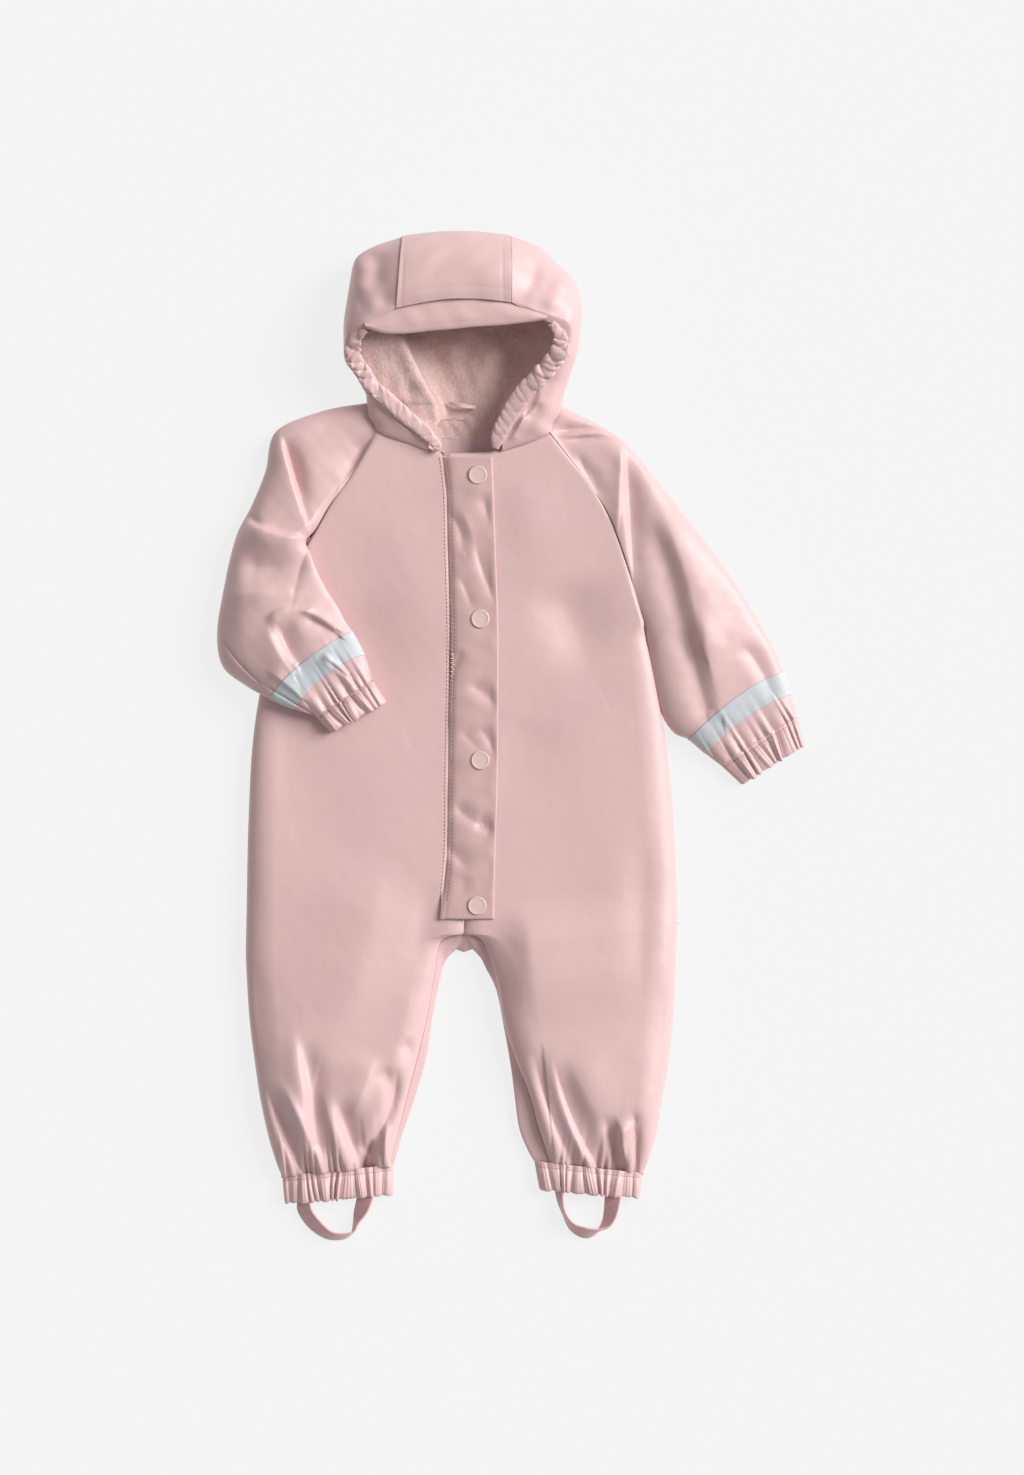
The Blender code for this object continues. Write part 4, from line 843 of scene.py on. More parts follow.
# ---------------------------------------------------------------- body
SLEEVE_TO = {"right": 122, "left": 78}  # the lowest end of each raglan seam
SEWN_OVER = 14  # how far up from there it takes to be fully sewn
FRONT_STEP, FRONT_ACROSS = 2.1, 120  # between rows of points, and points in a row
SEAM_ROLL = 4  # how wide the cloth curls down to the raglan seam and the flap
RAGLAN_DIP, FLAP_DIP = 0.8, 0.6  # how far it goes down there
TUCK_OUT, TUCK_DOWN = 2.2, 1.2  # how far its allowance goes on under the sleeve
NECK_ON = (0, 3, -1.6)  # and under the hood
OVER_FLAP = 0.6  # by which the right front's edge covers the flap's
CROTCH_SEAM = 0.55  # each front's share of the gap between them in the solids
CROTCH_FADE = ((-138, 6), (-161, 3))  # where that begins above and below, and over what
CROTCH_Y = (-159, -144)  # where the two fronts meet below the flap
CENTRE_X = {"right": -38.45, "left": -38.15}  # how far towards each other they go there
FLAP_FOOT, FLAP_OVER = -140, 24  # the flap goes under the front above here
# Layers of unevenness, each with its size and its height.
FRONT_UNEVEN, SLEEVE_UNEVEN = ((80, 0.3), (17, 0.03)), ((45, 0.3), (15, 0.1))
LEG_PULL, SLEEVE_PULL = (17, 4.6), (15, 4.4)  # how far up a cuff's gathers reach, and height
SEWN_IN, SEWN_DOWN = 1.2, 3.4  # how far a gathered end goes on into its cuff, and down


def cuff_pull(grid, cuff, reach, height):
    """The gathers that a cuff's elastic makes in the cloth sewn to it."""
    along, away, length = from_line(grid, cuff[0:2], cuff[2:4])
    share = along / length
    ridge = gathers(np.clip(share, 0, 1), cuff.gathers, cuff.seed) - 0.5
    reaches = reach * (0.5 + 1.1 * gathers(np.clip(share + 0.03, 0, 1), 7, cuff.seed + 3, 0.5))
    return height * ridge * np.exp(-(np.abs(away) / reaches) ** 1.4)


def into_cuff(grid, over):
    """The row of a grid's points that is hidden in the cuff: on a little, and down on top."""
    row = grid[-1] + SEWN_IN * unit(grid[-1] - grid[-3]) * (1, 1, 0)
    row[:over, 2] -= SEWN_DOWN * np.sin(math.pi * crowded(over)) ** 0.5
    return row


def under_front(y):
    """How far the flap's sewn edge is under the right front: not at its foot, and all above."""
    return eased((y - FLAP_FOOT) / FLAP_OVER)


def front_grid(table, creases, cuff, sleeve_to, covers):
    """The outer face of a front and its leg, from the inner end to the outer one."""
    rows = smooth(table, places(table, (0, 4), FRONT_STEP))
    column = Front(*rows.T)
    sewn = eased((column.outer_y - sleeve_to) / SEWN_OVER)
    column.outer_z[:] += (column.puff - RAGLAN_DIP - column.outer_z) * sewn
    column.outer_roll[:] += (SEAM_ROLL - column.outer_roll) * sewn
    column.outer_x[:] += np.sign(column.outer_x) * SEAM * sewn
    opening = under_front(column.inner_y)
    if covers:
        edge = np.interp(-column.inner_y, [-row.y for row in FLAP], [row.sewn_x for row in FLAP])
        column.inner_x[:] += (edge + covers - column.inner_x) * opening
    (top, above), (bottom, below) = CROTCH_FADE
    crotch = eased((top - column.inner_y) / above) * eased((column.inner_y - bottom) / below)
    column.inner_x[:] += CROTCH_SEAM * crotch * np.sign(column.inner_x - column.outer_x)
    column.inner_z[:] += (column.puff - FLAP_DIP - column.inner_z) * opening
    column.inner_roll[:] += (SEAM_ROLL - column.inner_roll) * opening
    share = crowded(FRONT_ACROSS)
    grid = np.empty((len(rows), FRONT_ACROSS, 3))
    lifts = np.empty(grid.shape[:2])
    for line, lift, values in zip(grid, lifts, rows):
        row = Front(*values)
        reach = math.hypot(row.outer_x - row.inner_x, row.outer_y - row.inner_y)
        line[:, 0] = between(row.inner_x, row.outer_x, share)
        line[:, 1] = between(row.inner_y, row.outer_y, share)
        line[:, 1] -= row.bow * np.sin(math.pi * share)
        lift[:] = curl(reach * (1 - share), row.outer_roll) * curl(reach * share, row.inner_roll)
        line[:, 2] = between(between(row.inner_z, row.outer_z, share), row.puff, lift)
    grid = creased(grid, creases, lifts)
    grid[..., 2] += lifts * unevenness(grid, FRONT_UNEVEN, cuff.seed)
    grid[..., 2] += np.minimum(lifts * 2, 1) * cuff_pull(grid, cuff, *LEG_PULL)
    return grid


def with_allowances(grid, sewn):
    """A front with a little cloth beyond its seams, tucked under what is sewn to it."""
    outward = unit(grid[:, -1] - grid[:, -2])
    tuck = TUCK_OUT * outward * (1, 1, 0) - (0, 0, TUCK_DOWN)
    tuck = grid[:, -1] + sewn[:, None] * tuck
    grid = np.concatenate([grid, tuck[:, None]], axis=1)
    return np.concatenate([[grid[0] + NECK_ON], grid, [into_cuff(grid, grid.shape[1])]])


def back_grid(table):
    """The outer face of a back: flat on the floor, and curling up to its seams."""
    lines = []
    for row in table:
        side = math.copysign(1, row.outer_x - row.inner_x)
        lift = max(row.outer_z - SIDE_SEAM, 0)
        top = max(row.inner_z - SIDE_SEAM, 0)
        turn = 7 * min(lift / 6, 1) + 0.8
        hem = 5 * min(max(row.edge_z, 0) / 5, 1) + 0.8
        floor_start, floor_end = row.outer_x - side * turn, row.edge_x + side * hem
        lines.append([
            (row.outer_x, row.outer_y, lift),
            (row.outer_x - side * 0.04 * turn, row.outer_y, lift * 0.72),
            (row.outer_x - side * 0.35 * turn, row.outer_y, lift * 0.22),
            (floor_start, row.outer_y, 0),
            (floor_start * 0.7 + floor_end * 0.3, row.outer_y * 0.7 + row.edge_y * 0.3, 0),
            (floor_start * 0.4 + floor_end * 0.6, row.outer_y * 0.4 + row.edge_y * 0.6, 0),
            (floor_end, row.edge_y, 0),
            (row.edge_x + side * 0.3 * hem, row.edge_y, 0.25 * row.edge_z),
            (row.edge_x, row.edge_y, row.edge_z),
            (row.inner_x * 0.5 + row.edge_x * 0.5, row.inner_y * 0.5 + row.edge_y * 0.5,
             top * 0.6 + row.edge_z * 0.4),
            (row.inner_x, row.inner_y, top),
        ])
    grid = finer(np.array(lines), 5 * len(lines), 51)
    grid[..., 2] = np.maximum(grid[..., 2], 0)
    return grid


def body(finish):
    """Both halves of the body, and the points of each front."""
    grids = {}
    for side, fronts, creases, backs in (
            ("right", FRONT_RIGHT, CREASES_FRONT_RIGHT, BACK_RIGHT),
            ("left", FRONT_LEFT, CREASES_FRONT_LEFT, BACK_LEFT)):
        left = side == "left"
        sleeve_to = SLEEVE_TO[side]
        grid = front_grid(fronts, creases, CUFFS[f"cuff_ankle_{side}"], sleeve_to,
                          0.0 if left else OVER_FLAP)
        x, y = grid[..., 0], grid[..., 1]
        held = (np.maximum if left else np.minimum)(x, CENTRE_X[side])
        grid[..., 0] = np.where((CROTCH_Y[0] < y) & (y < CROTCH_Y[1]), held, x)
        grids[side] = grid
        grid = with_allowances(grid, eased((grid[:, -1, 1] - sleeve_to) / SEWN_OVER))
        for name, points, under in (("front", grid, f"back_{side}_cloth"),
                                    ("back", back_grid(backs), "floor")):
            piece = cloth(f"{name}_{side}", "cloth", points, WALL, finish["shell"], flip=left)
            cut(points)
    return grids


# ---------------------------------------------------------------- sleeves
SEWN_ROWS = (3.4, 6.6)  # a sleeve is sewn to the body above these rows, and free below
SEWN_HEIGHT = {"right": 16.8, "left": 17.2}  # of the raglan seam
SEWN_ROLL = {"right": 7, "left": 13}  # how wide the sleeve curls down to it
LEFT_IN, LEFT_IN_ROWS = 3.5, (5.4, 9)  # how far further in the left one's inner end is, and where
UNDER_ROLL = 9  # how wide the underside curls up at both sides
SLEEVE_STEP = 1.5
SLEEVE_OVER, SLEEVE_UNDER = 104, 26  # points across the top, and underneath
SLEEVE_TUCK = (4, 1.4)  # how far the neck end goes on under the hood, and down
TAPE_ACROSS, TAPE_SAMPLES = 24, 40
BODY_TOP = 20.5                # how high the body is under the folded sleeve
BODY_SIDE, BODY_RISE = 30, 46  # how far outside its side seam that rise starts, and how wide it is


def over_body(x, y):
    """How high the body lies under a place on the folded sleeve."""
    side = np.interp(-y, [-row.outer_y for row in FRONT_RIGHT],
                     [row.outer_x for row in FRONT_RIGHT])
    return BODY_TOP * eased((x - side + BODY_SIDE) / BODY_RISE)


def sleeve_grid(side, at=None):
    """A sleeve's outer face, from its inner seam over the top and back underneath."""
    right = side == "right"
    table, creases = ((SLEEVE_RIGHT, CREASES_SLEEVE_RIGHT) if right
                      else (SLEEVE_LEFT, CREASES_SLEEVE_LEFT))
    cuff = CUFFS[f"cuff_wrist_{side}"]
    at = places(table, (0, 2), SLEEVE_STEP) if at is None else at
    rows = smooth(table, at)
    column = Arm(*rows.T)
    sewn = 1 - eased((at - SEWN_ROWS[0]) / (SEWN_ROWS[1] - SEWN_ROWS[0]))
    if not right:
        first, last = LEFT_IN_ROWS
        column.inner_x[:] -= LEFT_IN * eased((at - first) / 1.2) * eased((last - at) / 1.6)
    column.seam_z[:] += (SEWN_HEIGHT[side] - column.seam_z) * sewn
    inner_rolls = column.roll + (SEWN_ROLL[side] - column.roll) * sewn
    over, under = SLEEVE_OVER, SLEEVE_UNDER
    grid = np.empty((len(rows), over + under, 3))
    lifts = np.empty((len(rows), over))
    top, below = crowded(over), 1 - crowded(under + 1)[1:]
    for line, lift, values, inner_roll in zip(grid, lifts, rows, inner_rolls):
        row = Arm(*values)
        inner = np.array([row.inner_x, row.inner_y])
        span = np.array([row.outer_x, row.outer_y]) - inner
        reach = math.hypot(*span)
        line[:, :2] = inner + np.concatenate([top, below])[:, None] * span
        lift[:] = curl(reach * (1 - top), row.roll) * curl(reach * top, inner_roll)
        line[:over, 2] = between(between(row.seam_z, row.edge_z, top), row.puff, lift)
        sink = curl(reach * (1 - below), UNDER_ROLL) * curl(reach * below, UNDER_ROLL)
        ends = between(row.under_z - SEAM, row.edge_z, below)
        line[over:, 2] = between(ends, FLOOR_LIFT, sink)
    if right:
        on_body = np.clip((at - ON_BODY_FROM) / ON_BODY_OVER, 0, 1)[:, None]
        lift = over_body(grid[..., 0], grid[..., 1]) * on_body
        share = np.clip((grid[..., 2] - FLOOR_LIFT) / (ARM_TOP - FLOOR_LIFT), 0, 1)
        grid[..., 2] = np.maximum(grid[..., 2], lift + share * ON_BODY_THICK)
    face = creased(grid[:, :over], creases, lifts)
    face[..., 2] += lifts * unevenness(face, SLEEVE_UNEVEN, cuff.seed)
    face[..., 2] += np.minimum(lifts * 2, 1) * cuff_pull(face, cuff, *SLEEVE_PULL)
    grid[:, :over] = face
    return grid


def tape_grid(side):
    """The reflective tape's points, on its sleeve and bowed towards the shoulder."""
    first, last = TAPE_ROWS[side]
    near = sleeve_grid(side, np.linspace(first - TAPE_BOW, last, TAPE_SAMPLES))
    per_row = (TAPE_SAMPLES - 1) / (last - first + TAPE_BOW)
    away = np.linalg.norm(near[0, :, :2] - near[0, 0, :2], axis=1)
    arch = 1 - (2 * away / away.max() - 1) ** 2
    across = np.linspace(0, last - first, TAPE_ACROSS)
    strip = np.array([smooth(column, (TAPE_BOW * (1 - bend) + across) * per_row)
                      for column, bend in zip(near.swapaxes(0, 1), arch)]).swapaxes(0, 1)
    return strip + (2 * FILM if side == "left" else -2 * FILM) * normals(strip)


def sleeves(finish):
    """The raglan sleeves, each with its reflective tape."""
    for side in ("right", "left"):
        left = side == "left"
        grid = sleeve_grid(side)
        start = grid[0] + unit(grid[0] - grid[2]) * SLEEVE_TUCK[0] - (0, 0, SLEEVE_TUCK[1])
        tucked = np.concatenate([[start], grid, [into_cuff(grid, SLEEVE_OVER)]])
        piece = cloth(f"sleeve_{side}", "cloth", tucked, WALL, finish["shell"], flip=left)
        cut(grid)
        strip = tape_grid(side)
        piece = cloth(f"tape_{side}", "film", strip, FILM, finish["film"],
                      flip=left)
        cut(strip)


# ---------------------------------------------------------------- gathered cuffs
CUFF_WALL = 1.6
CUFF_HEIGHT, CUFF_SCALLOP = 5, 2.6  # of gathers, and how far they push its edge out
PER_GATHER, CUFF_UNDER = 18, 40  # points across each gather, and underneath


def cuff_loop(cuff, step, inset):
    """One ring round a gathered cuff, a step of the way from its seam to its free edge."""
    over, seed = PER_GATHER * cuff.gathers + 1, cuff.seed
    share = np.concatenate([np.linspace(0, 1, over), np.linspace(1, 0, CUFF_UNDER + 2)[1:-1]])
    on_top = np.arange(len(share)) < over
    ends = [np.array(cuff[k:k + 2]) * (1 - step) + np.array(cuff[k + 4:k + 6]) * step
            for k in (0, 2)]
    run = ends[1] - ends[0]
    reach = math.hypot(*run)
    inner = np.clip(share, inset / reach, 1 - inset / reach)
    wander = 0.5 / cuff.gathers * np.sin(2 * math.pi * (2.3 * share + 0.37 * seed))
    moved = np.clip(share + wander * (step - 0.3) * np.sin(math.pi * share), 0, 1)
    small = gathers(moved, 2 * cuff.gathers + 1, seed + 50)
    ridge = 0.86 * gathers(moved, cuff.gathers, seed, 0.65) + 0.14 * small
    down = np.array([run[1], -run[0]]) / reach
    plan = ends[0] + inner[:, None] * run + down * (CUFF_SCALLOP * (ridge - 0.55) * step)[:, None]
    casing = math.sin(math.pi * min(max((step - 0.12) / 0.88, 0), 1)) ** 0.6
    low, high = cuff.low + inset, cuff.high - inset - 2.6 + 2.0 * casing
    middle = between(low, high, 0.42)
    bulge = np.sqrt(1 - np.abs(2 * share - 1) ** 2.6)
    z = np.where(on_top, between(middle, high, bulge),
                 between(middle, low, np.sqrt(1 - np.abs(2 * share - 1) ** 8)))
    swell = (0.55 + 0.45 * casing) * np.minimum(1, bulge * 1.4)
    z += np.where(on_top, CUFF_HEIGHT * (ridge - 0.5) * swell, 0.3 * ridge)
    return np.column_stack([plan, z])


def cuffs(finish):
    """Each cuff is a wall that turns in at its free edge and back up to its seam."""
    steps = np.concatenate([[-0.12, -0.06, 0, 0.05], np.linspace(0.1, 1, 16)])
    sewing = []
    for name, cuff in CUFFS.items():
        outer = [cuff_loop(cuff, step, 0) for step in steps]
        turn = [cuff_loop(cuff, 1.03, CUFF_WALL * 0.5)]
        inner = [cuff_loop(cuff, step, CUFF_WALL) for step in (1, 0.7, 0.3, -0.1)]
        grid = closed(np.array(outer + turn + inner + outer[:1]))
        piece = cloth(name, "gathers", grid, 0, finish["shell"], ring=True, flip=True)
        cut(closed(np.array(outer)))
        sewing.append(cuff_loop(cuff, 0.1, 0)[4:PER_GATHER * cuff.gathers - 3])
        sewing[-1][:, 2] += STITCH_LIFT
    stitches("cuff_stitches", sewing, finish["thread"], 2.4, 1.7)


# ---------------------------------------------------------------- front opening
FLAP_WALL = 2.2
FLAP_ROWS, FLAP_ACROSS = 260, 56
FLAP_STITCH = 4.4       # from its sewn edge to the row of stitches on it
FRONT_STITCH = -1.6     # and to the one on the front
FLAP_RISE = (1.4, 4.4)  # from its sewn edge, at its foot and where it is under the front
FLAP_UNDER = 2.2        # how far it goes on under the front
FLAP_EDGE = 1.2         # how wide its edges are rounded


def flap(finish, front):
    """The storm flap, with its stitches, and the points of its upper face."""
    rows = spread(FLAP, FLAP_ROWS)
    share = crowded(FLAP_ACROSS, 0.4)
    face = np.empty((FLAP_ROWS, FLAP_ACROSS, 3))
    for line, values in zip(face, rows):
        row = Flap(*values)
        under = under_front(row.y)
        sewn_x = row.sewn_x - FLAP_UNDER * under
        rise = between(*FLAP_RISE, under)
        line[:, 0] = between(sewn_x, row.free_x, share)
        line[:, 1] = row.y
        away = line[:, 0] - row.sewn_x
        line[:, 2] = row.z - rise * np.exp(-np.maximum(away, 0) / 4.5) - 0.5 * share
    column = Flap(*(values[:, None] for values in rows.T))
    along = face[..., 0] - column.sewn_x
    ends = np.minimum(np.abs(face[..., 1] - face[0, 0, 1]), np.abs(face[..., 1] - face[-1, 0, 1]))
    edge = np.minimum(np.minimum(along + 3, column.free_x - face[..., 0]), ends)
    face = creased(face, CREASES_FLAP, 0.85 * eased(edge / 7))
    face[..., 2] += 0.25 * uneven(face, 22, 5) * eased(edge / 6)
    face[..., 2] -= 0.22 * np.exp(-((along - FLAP_STITCH) / 1.2) ** 2)
    fall = np.where(along < 3, 0.3, 1.0)
    face[..., 2] -= fall * (1 - curl(edge, FLAP_EDGE))
    plain = face.copy()
    plain[..., 2] = np.minimum(column.z - FLAP_WALL, face[..., 2] - 1.2)
    rim = face[:, -1:] + (0.25, 0, -0.9)
    loops = np.concatenate([face, rim, plain[:, ::-1]], axis=1)
    # its finish is the shell's colour made darker: painted shade of the flap's folds
    piece = tube("storm_flap", "cloth", loops, finish["painted_shade"])
    cut(face)
    sewn = rows[::13]
    runs = [on_cloth(np.column_stack([sewn[:, 0] + away, sewn[:, 2]]), grid)
            for away, grid in ((FLAP_STITCH, face), (FRONT_STITCH, front))]
    stitches("flap_stitches", runs, finish["thread"])
    return face


ZIP_TEETH, ZIP_TOOTH = 200, (2.6, 1, 0.55)
ZIP_STAGGER = 0.5  # how far each tooth is to its own side


def zip_strip(finish):
    """The zip's tape under the flap, and its moulded teeth."""
    edge = smooth(FRONT_RIGHT[:10], np.linspace(0, 8.8, 60))
    top = np.column_stack([edge[:, 4] + ZIP_IN, edge[:, 5], edge[:, 6] - ZIP_DOWN])
    top[0, 1] = ZIP_TOP_Y
    wide, deep = np.array([ZIP_WIDTH, 0, 0]), np.array([0, 0, ZIP_DEPTH])
    loops = np.stack([top, top + wide, top + wide - deep, top - deep], axis=1)
    tube("zip", "tape", loops, finish["thread"])
    bm = bmesh.new()
    bmesh.ops.create_cube(bm, size=1)
    corners, sides = prototype(bm)
    tooth = corners * ZIP_TOOTH + (0, 0, ZIP_TOOTH[2] / 2)
    copies = [place + tooth + (ZIP_STAGGER if number % 2 else -ZIP_STAGGER, 0, 0)
              for number, place in enumerate(evenly(top + wide / 2, ZIP_TEETH))]
    joined("zip_teeth", copies, sides, finish["moulded"])


# A snap's cap in section: how far out, and how high.
SNAP_PROFILE = [(0, 1.0), (2.2, 1.01), (5.0, 1.05), (6.0, 1.1), (6.4, 1.3), (6.9, 1.25),
                (7.2, 1.0), (7.45, 0.6), (7.4, 0.2), (6.9, 0.0), (0, 0)]
SNAP_GAP = 0.1                # under each cap
SNAP_NEAR, SNAP_SEAT = 8, 80  # it sits on the cloth this near, above this percentage of it


def snaps(finish, face):
    """Each snap's cap: a dished disc with a rounded rim."""
    turn = np.linspace(0, 2 * math.pi, 49)
    for number, snap in enumerate(SNAPS, 1):
        near = np.hypot(face[..., 0] - snap.x, face[..., 1] - snap.y) < SNAP_NEAR
        seat = np.percentile(face[near][:, 2], SNAP_SEAT) + SNAP_GAP
        grid = np.array([[(snap.x + r * math.cos(a), snap.y + r * math.sin(a), seat + z)
                          for a in turn] for r, z in SNAP_PROFILE])
        cloth(f"snap_{number}", "cap", grid, 0, finish["moulded"], ring=True,
              capped=True)


# ---------------------------------------------------------------- hood
HOOD_SEAM = 0.2  # from the strip's edge to a side's
STRIP_ROWS, STRIP_ACROSS, STRIP_UPPER = 132, 84, 56
SIDE_ROWS, SIDE_ACROSS = 96, 70
RIM_SHARES = (0, 0.25, 0.5, 0.75)  # a side's points under its casing, from its middle
# A side's bends from its rim over to its fold, and on under: how far in plan, and height left.
SIDE_OVER = ((0.4, 0.88), (0.75, 0.6), (0.95, 0.28))
SIDE_UNDER = ((0.08, 0.6), (0.3, 0.14), (0.65, 0.02))
# The rows of stitches, on the strip's edges and along its hem.
STRIP_STITCHES = (
    ((-84.2, 398), (-85.4, 384), (-86.2, 366), (-87.6, 340.6)),
    ((-7.6, 398.5), (-7.0, 384), (-6.6, 366), (-6.4, 344.6)),
    ((-90.6, 349), (-64, 354.4), (-30, 356), (-1.2, 353.2)),
)


def hood_centre_grid():
    """The strip's few points, from which its cloth and the sides' seams are worked out."""
    crown = np.arange(0, CROWN_ROWS + 0.01, 0.5)
    under = np.arange(CROWN_ROWS + 1, len(HOOD_CENTRE))
    rows = smooth(HOOD_CENTRE, np.concatenate([crown, under]))
    share = np.linspace(0, 1, 8)
    grid = np.empty((len(rows), len(share), 3))
    for line, values in zip(grid, rows):
        row = Strip(*values)
        line[:, 0] = between(row.left_x, row.right_x, share)
        line[:, 1] = between(row.left_y, row.right_y, share)
        line[:, 1] += row.bow * np.sin(math.pi * share)
        line[:, 2] = max(row.z, 0) + min(row.z / 30, 1) * 1.5 * np.sin(math.pi * share)
    beside = np.maximum(abs(grid[-1, :, 0] - BACK_NECK_X) - BACK_NECK_FLAT, 0)
    grid[-1, :, 1] = BACK_NECK_Y - BACK_NECK_SLOPE * beside
    return grid, len(crown)


def hood_side_grid(table, seam, below):
    """A side of the hood: its first row runs along the middle strip's edge."""
    lines = [seam]
    for number, row in enumerate(table):
        rim, fold = np.array(row[:3]), np.array(row[3:])
        end = below[number] if number < len(below) else fold + NECK_TURN
        over = [between(rim, fold, (plan, plan, 1 - rise)) for plan, rise in SIDE_OVER]
        under = [between(fold, end, (plan, plan, 1 - rise)) for plan, rise in SIDE_UNDER]
        lines.append(evenly([rim] + over + [fold] + under + [end], len(seam)))
    return np.array(lines)


def hood_strip(finish, centre):
    """The middle strip, and the points of its upper part."""
    grid = finer(centre, STRIP_ROWS, STRIP_ACROSS)
    grid[..., 2] = np.maximum(grid[..., 2], 0)
    middle = np.sin(math.pi * np.linspace(0, 1, STRIP_ACROSS))[None, :]
    on_top = eased((grid[..., 2] - 22) / 20) * middle ** 0.5
    grid[..., 2] += on_top * 0.5 * uneven(grid, 26, 3)
    grid[:, :, 2] -= 0.7 * np.exp(-(np.arange(STRIP_ROWS) / 5) ** 2)[:, None]
    grid = creased(grid, CREASES_HOOD_STITCHES, on_top > 0)
    piece = cloth("hood_centre", "cloth", grid, WALL, finish["shell"], flip=True)
    cut(grid)
    return grid[:STRIP_UPPER]


def hood_side(finish, side, seam, below):
    """One side of the hood, from under its casing out to its fold and in below."""
    table, path, creases = ((HOOD_RIGHT, RIM_RIGHT, CREASES_HOOD_RIGHT) if side == "right"
                            else (HOOD_LEFT, RIM_LEFT, CREASES_HOOD_LEFT))
    grid = finer(hood_side_grid(table, seam, below), SIDE_ROWS, SIDE_ACROSS)
    middle = spread(path, 200)[:, :3]
    near = np.array([middle[np.argmin(np.linalg.norm(middle[:, :2] - place[:2], axis=1))]
                     for place in grid[:, 0]])
    under = near + (0, 0, -0.5)
    edge = [between(under, grid[:, 0], share) for share in RIM_SHARES]
    grid = np.concatenate([np.array(edge).swapaxes(0, 1), grid], axis=1)
    out = eased(np.arange(grid.shape[0]) / 10)[:, None] * eased(np.arange(grid.shape[1]) / 10)
    raised = eased((grid[..., 2] - 14) / 12) * out
    grid = creased(grid, creases, raised)
    grid[..., 2] = np.maximum(grid[..., 2] + raised * 0.6 * uneven(grid, 22, 9), 0)
    piece = cloth(f"hood_side_{side}", "cloth", grid, WALL, finish["shell"],
                  flip=side == "left")
    cut(grid)


RIM_TIGHT = (1.6, 0.65)    # how deep the gathers are at the top, and further down
RIM_RIDGES = (0.72, 0.28)  # the share of large gathers, and of small ones between them
RIM_SEEDS = {"right": 7, "left": 8}
RIM_AROUND, PER_RIM_GATHER = 36, 22  # points round the casing, and along each gather


def rim_casing(finish, side):
    """The hood's elasticated rim: a flat soft roll, pinched across by its elastic."""
    path = RIM_RIGHT if side == "right" else RIM_LEFT
    many, seed = RIM_GATHERS[side], RIM_SEEDS[side]
    count = PER_RIM_GATHER * many + 1
    rows = spread(path, count)
    ahead = np.gradient(rows[:, :3], axis=0)
    across = unit(np.column_stack([ahead[:, 1], -ahead[:, 0], np.zeros(count)]))
    turn = np.linspace(0, 2 * math.pi, RIM_AROUND, endpoint=False)
    along = np.linspace(0, 1, count)
    wide = np.sign(np.cos(turn)) * np.abs(np.cos(turn)) ** 0.6
    high = np.sign(np.sin(turn)) * np.abs(np.sin(turn)) ** 0.6
    large, small = RIM_RIDGES
    ridges = []
    for angle in turn:
        slant = 0.5 * math.cos(angle) / many
        inner, outer = 0.5 + 0.5 * math.cos(angle), 0.5 - 0.5 * math.cos(angle)
        ridges.append(large * inner * gathers(along + slant, many, seed, 0.5)
                      + large * outer * gathers(along - slant, many - 3, seed + 20, 0.5)
                      + small * gathers(along - 2 * slant, 2 * many + 3, seed + 9, 0.6))
    ridges = np.array(ridges).T
    tight = between(*RIM_TIGHT, eased((along - 0.3) / 0.3))
    loops = []
    for values, beside, ridge, pull in zip(rows, across, ridges, tight):
        row = Rim(*values)
        out = (wide * row.width / 2 * (1.02 + 0.3 * pull * (ridge - 0.5)))[:, None] * beside
        up = (high * row.thick / 2 * (0.95 + 1.1 * pull * (ridge - 0.45)))[:, None] * (0, 0, 1)
        loops.append(values[:3] + out + up)
    loops = np.array(loops)
    piece = tube(f"hood_rim_{side}", "gathers", loops, finish["shell"])
    cut(loops[:, :RIM_AROUND // 2 + 1])


def hood(finish):
    """The hood's outside: strip, sides, gathered rims and stitches."""
    centre, crown = hood_centre_grid()
    upper = hood_strip(finish, centre)
    for side, edge, push in (("right", 0, -HOOD_SEAM), ("left", -1, HOOD_SEAM)):
        beside = centre[:, edge] + (push, 0, 0)
        hood_side(finish, side, beside[:crown], beside[crown:-1])
    for side in ("right", "left"):
        rim_casing(finish, side)
    stitches("hood_stitches", [on_cloth(line, upper) for line in STRIP_STITCHES],
             finish["thread"])


PEAK_ROWS, PEAK_ACROSS = 120, 14
PEAK_SEWN = (0, 2.6, -1.2)      # how its sewn edge goes on into the strip's hem
PEAK_TIP, PEAK_WALL = 2.4, 1.8  # how far it tips up, and its two layers
PEAK_STITCH = 4                 # from its free edge to its stitches


def peak(finish):
    """The small peak over the face, in two layers."""
    rows = spread(PEAK, PEAK_ROWS)
    share = np.linspace(0, 1, PEAK_ACROSS)
    sewn, free = rows[:, [0, 1, 4]] + PEAK_SEWN, rows[:, [2, 3, 5]]
    deep = np.linalg.norm(free - sewn, axis=1)[:, None]
    face = between(sewn[:, None], free[:, None], share[:, None])
    groove = np.exp(-((1 - share) * deep - PEAK_STITCH) ** 2)
    face[..., 2] += 1.6 * np.sin(math.pi * share ** 1.4) - 0.3 * groove
    face[..., 2] += 0.35 * uneven(face, 18, 2) * np.sin(math.pi * share)
    face[..., 2] += PEAK_TIP * share * np.sin(math.pi * np.linspace(0, 1, PEAK_ROWS))[:, None]
    face[:, -1, 2] -= 0.5
    below = face - (0, 0, PEAK_WALL)
    rim = face[:, -1:] + (0, -0.3, -0.7)
    loops = np.concatenate([face, rim, below[:, ::-1]], axis=1)
    piece = tube("peak", "cloth", loops, finish["shell"])
    cut(face)
    inner = free + (sewn - free) * (PEAK_STITCH / np.maximum(deep, 4.2))
    stitches("peak_stitches", [inner[10:-10:4] + (0, 0, 1.0)], finish["thread"])


LINING_ROWS, LINING_ACROSS = 116, 120
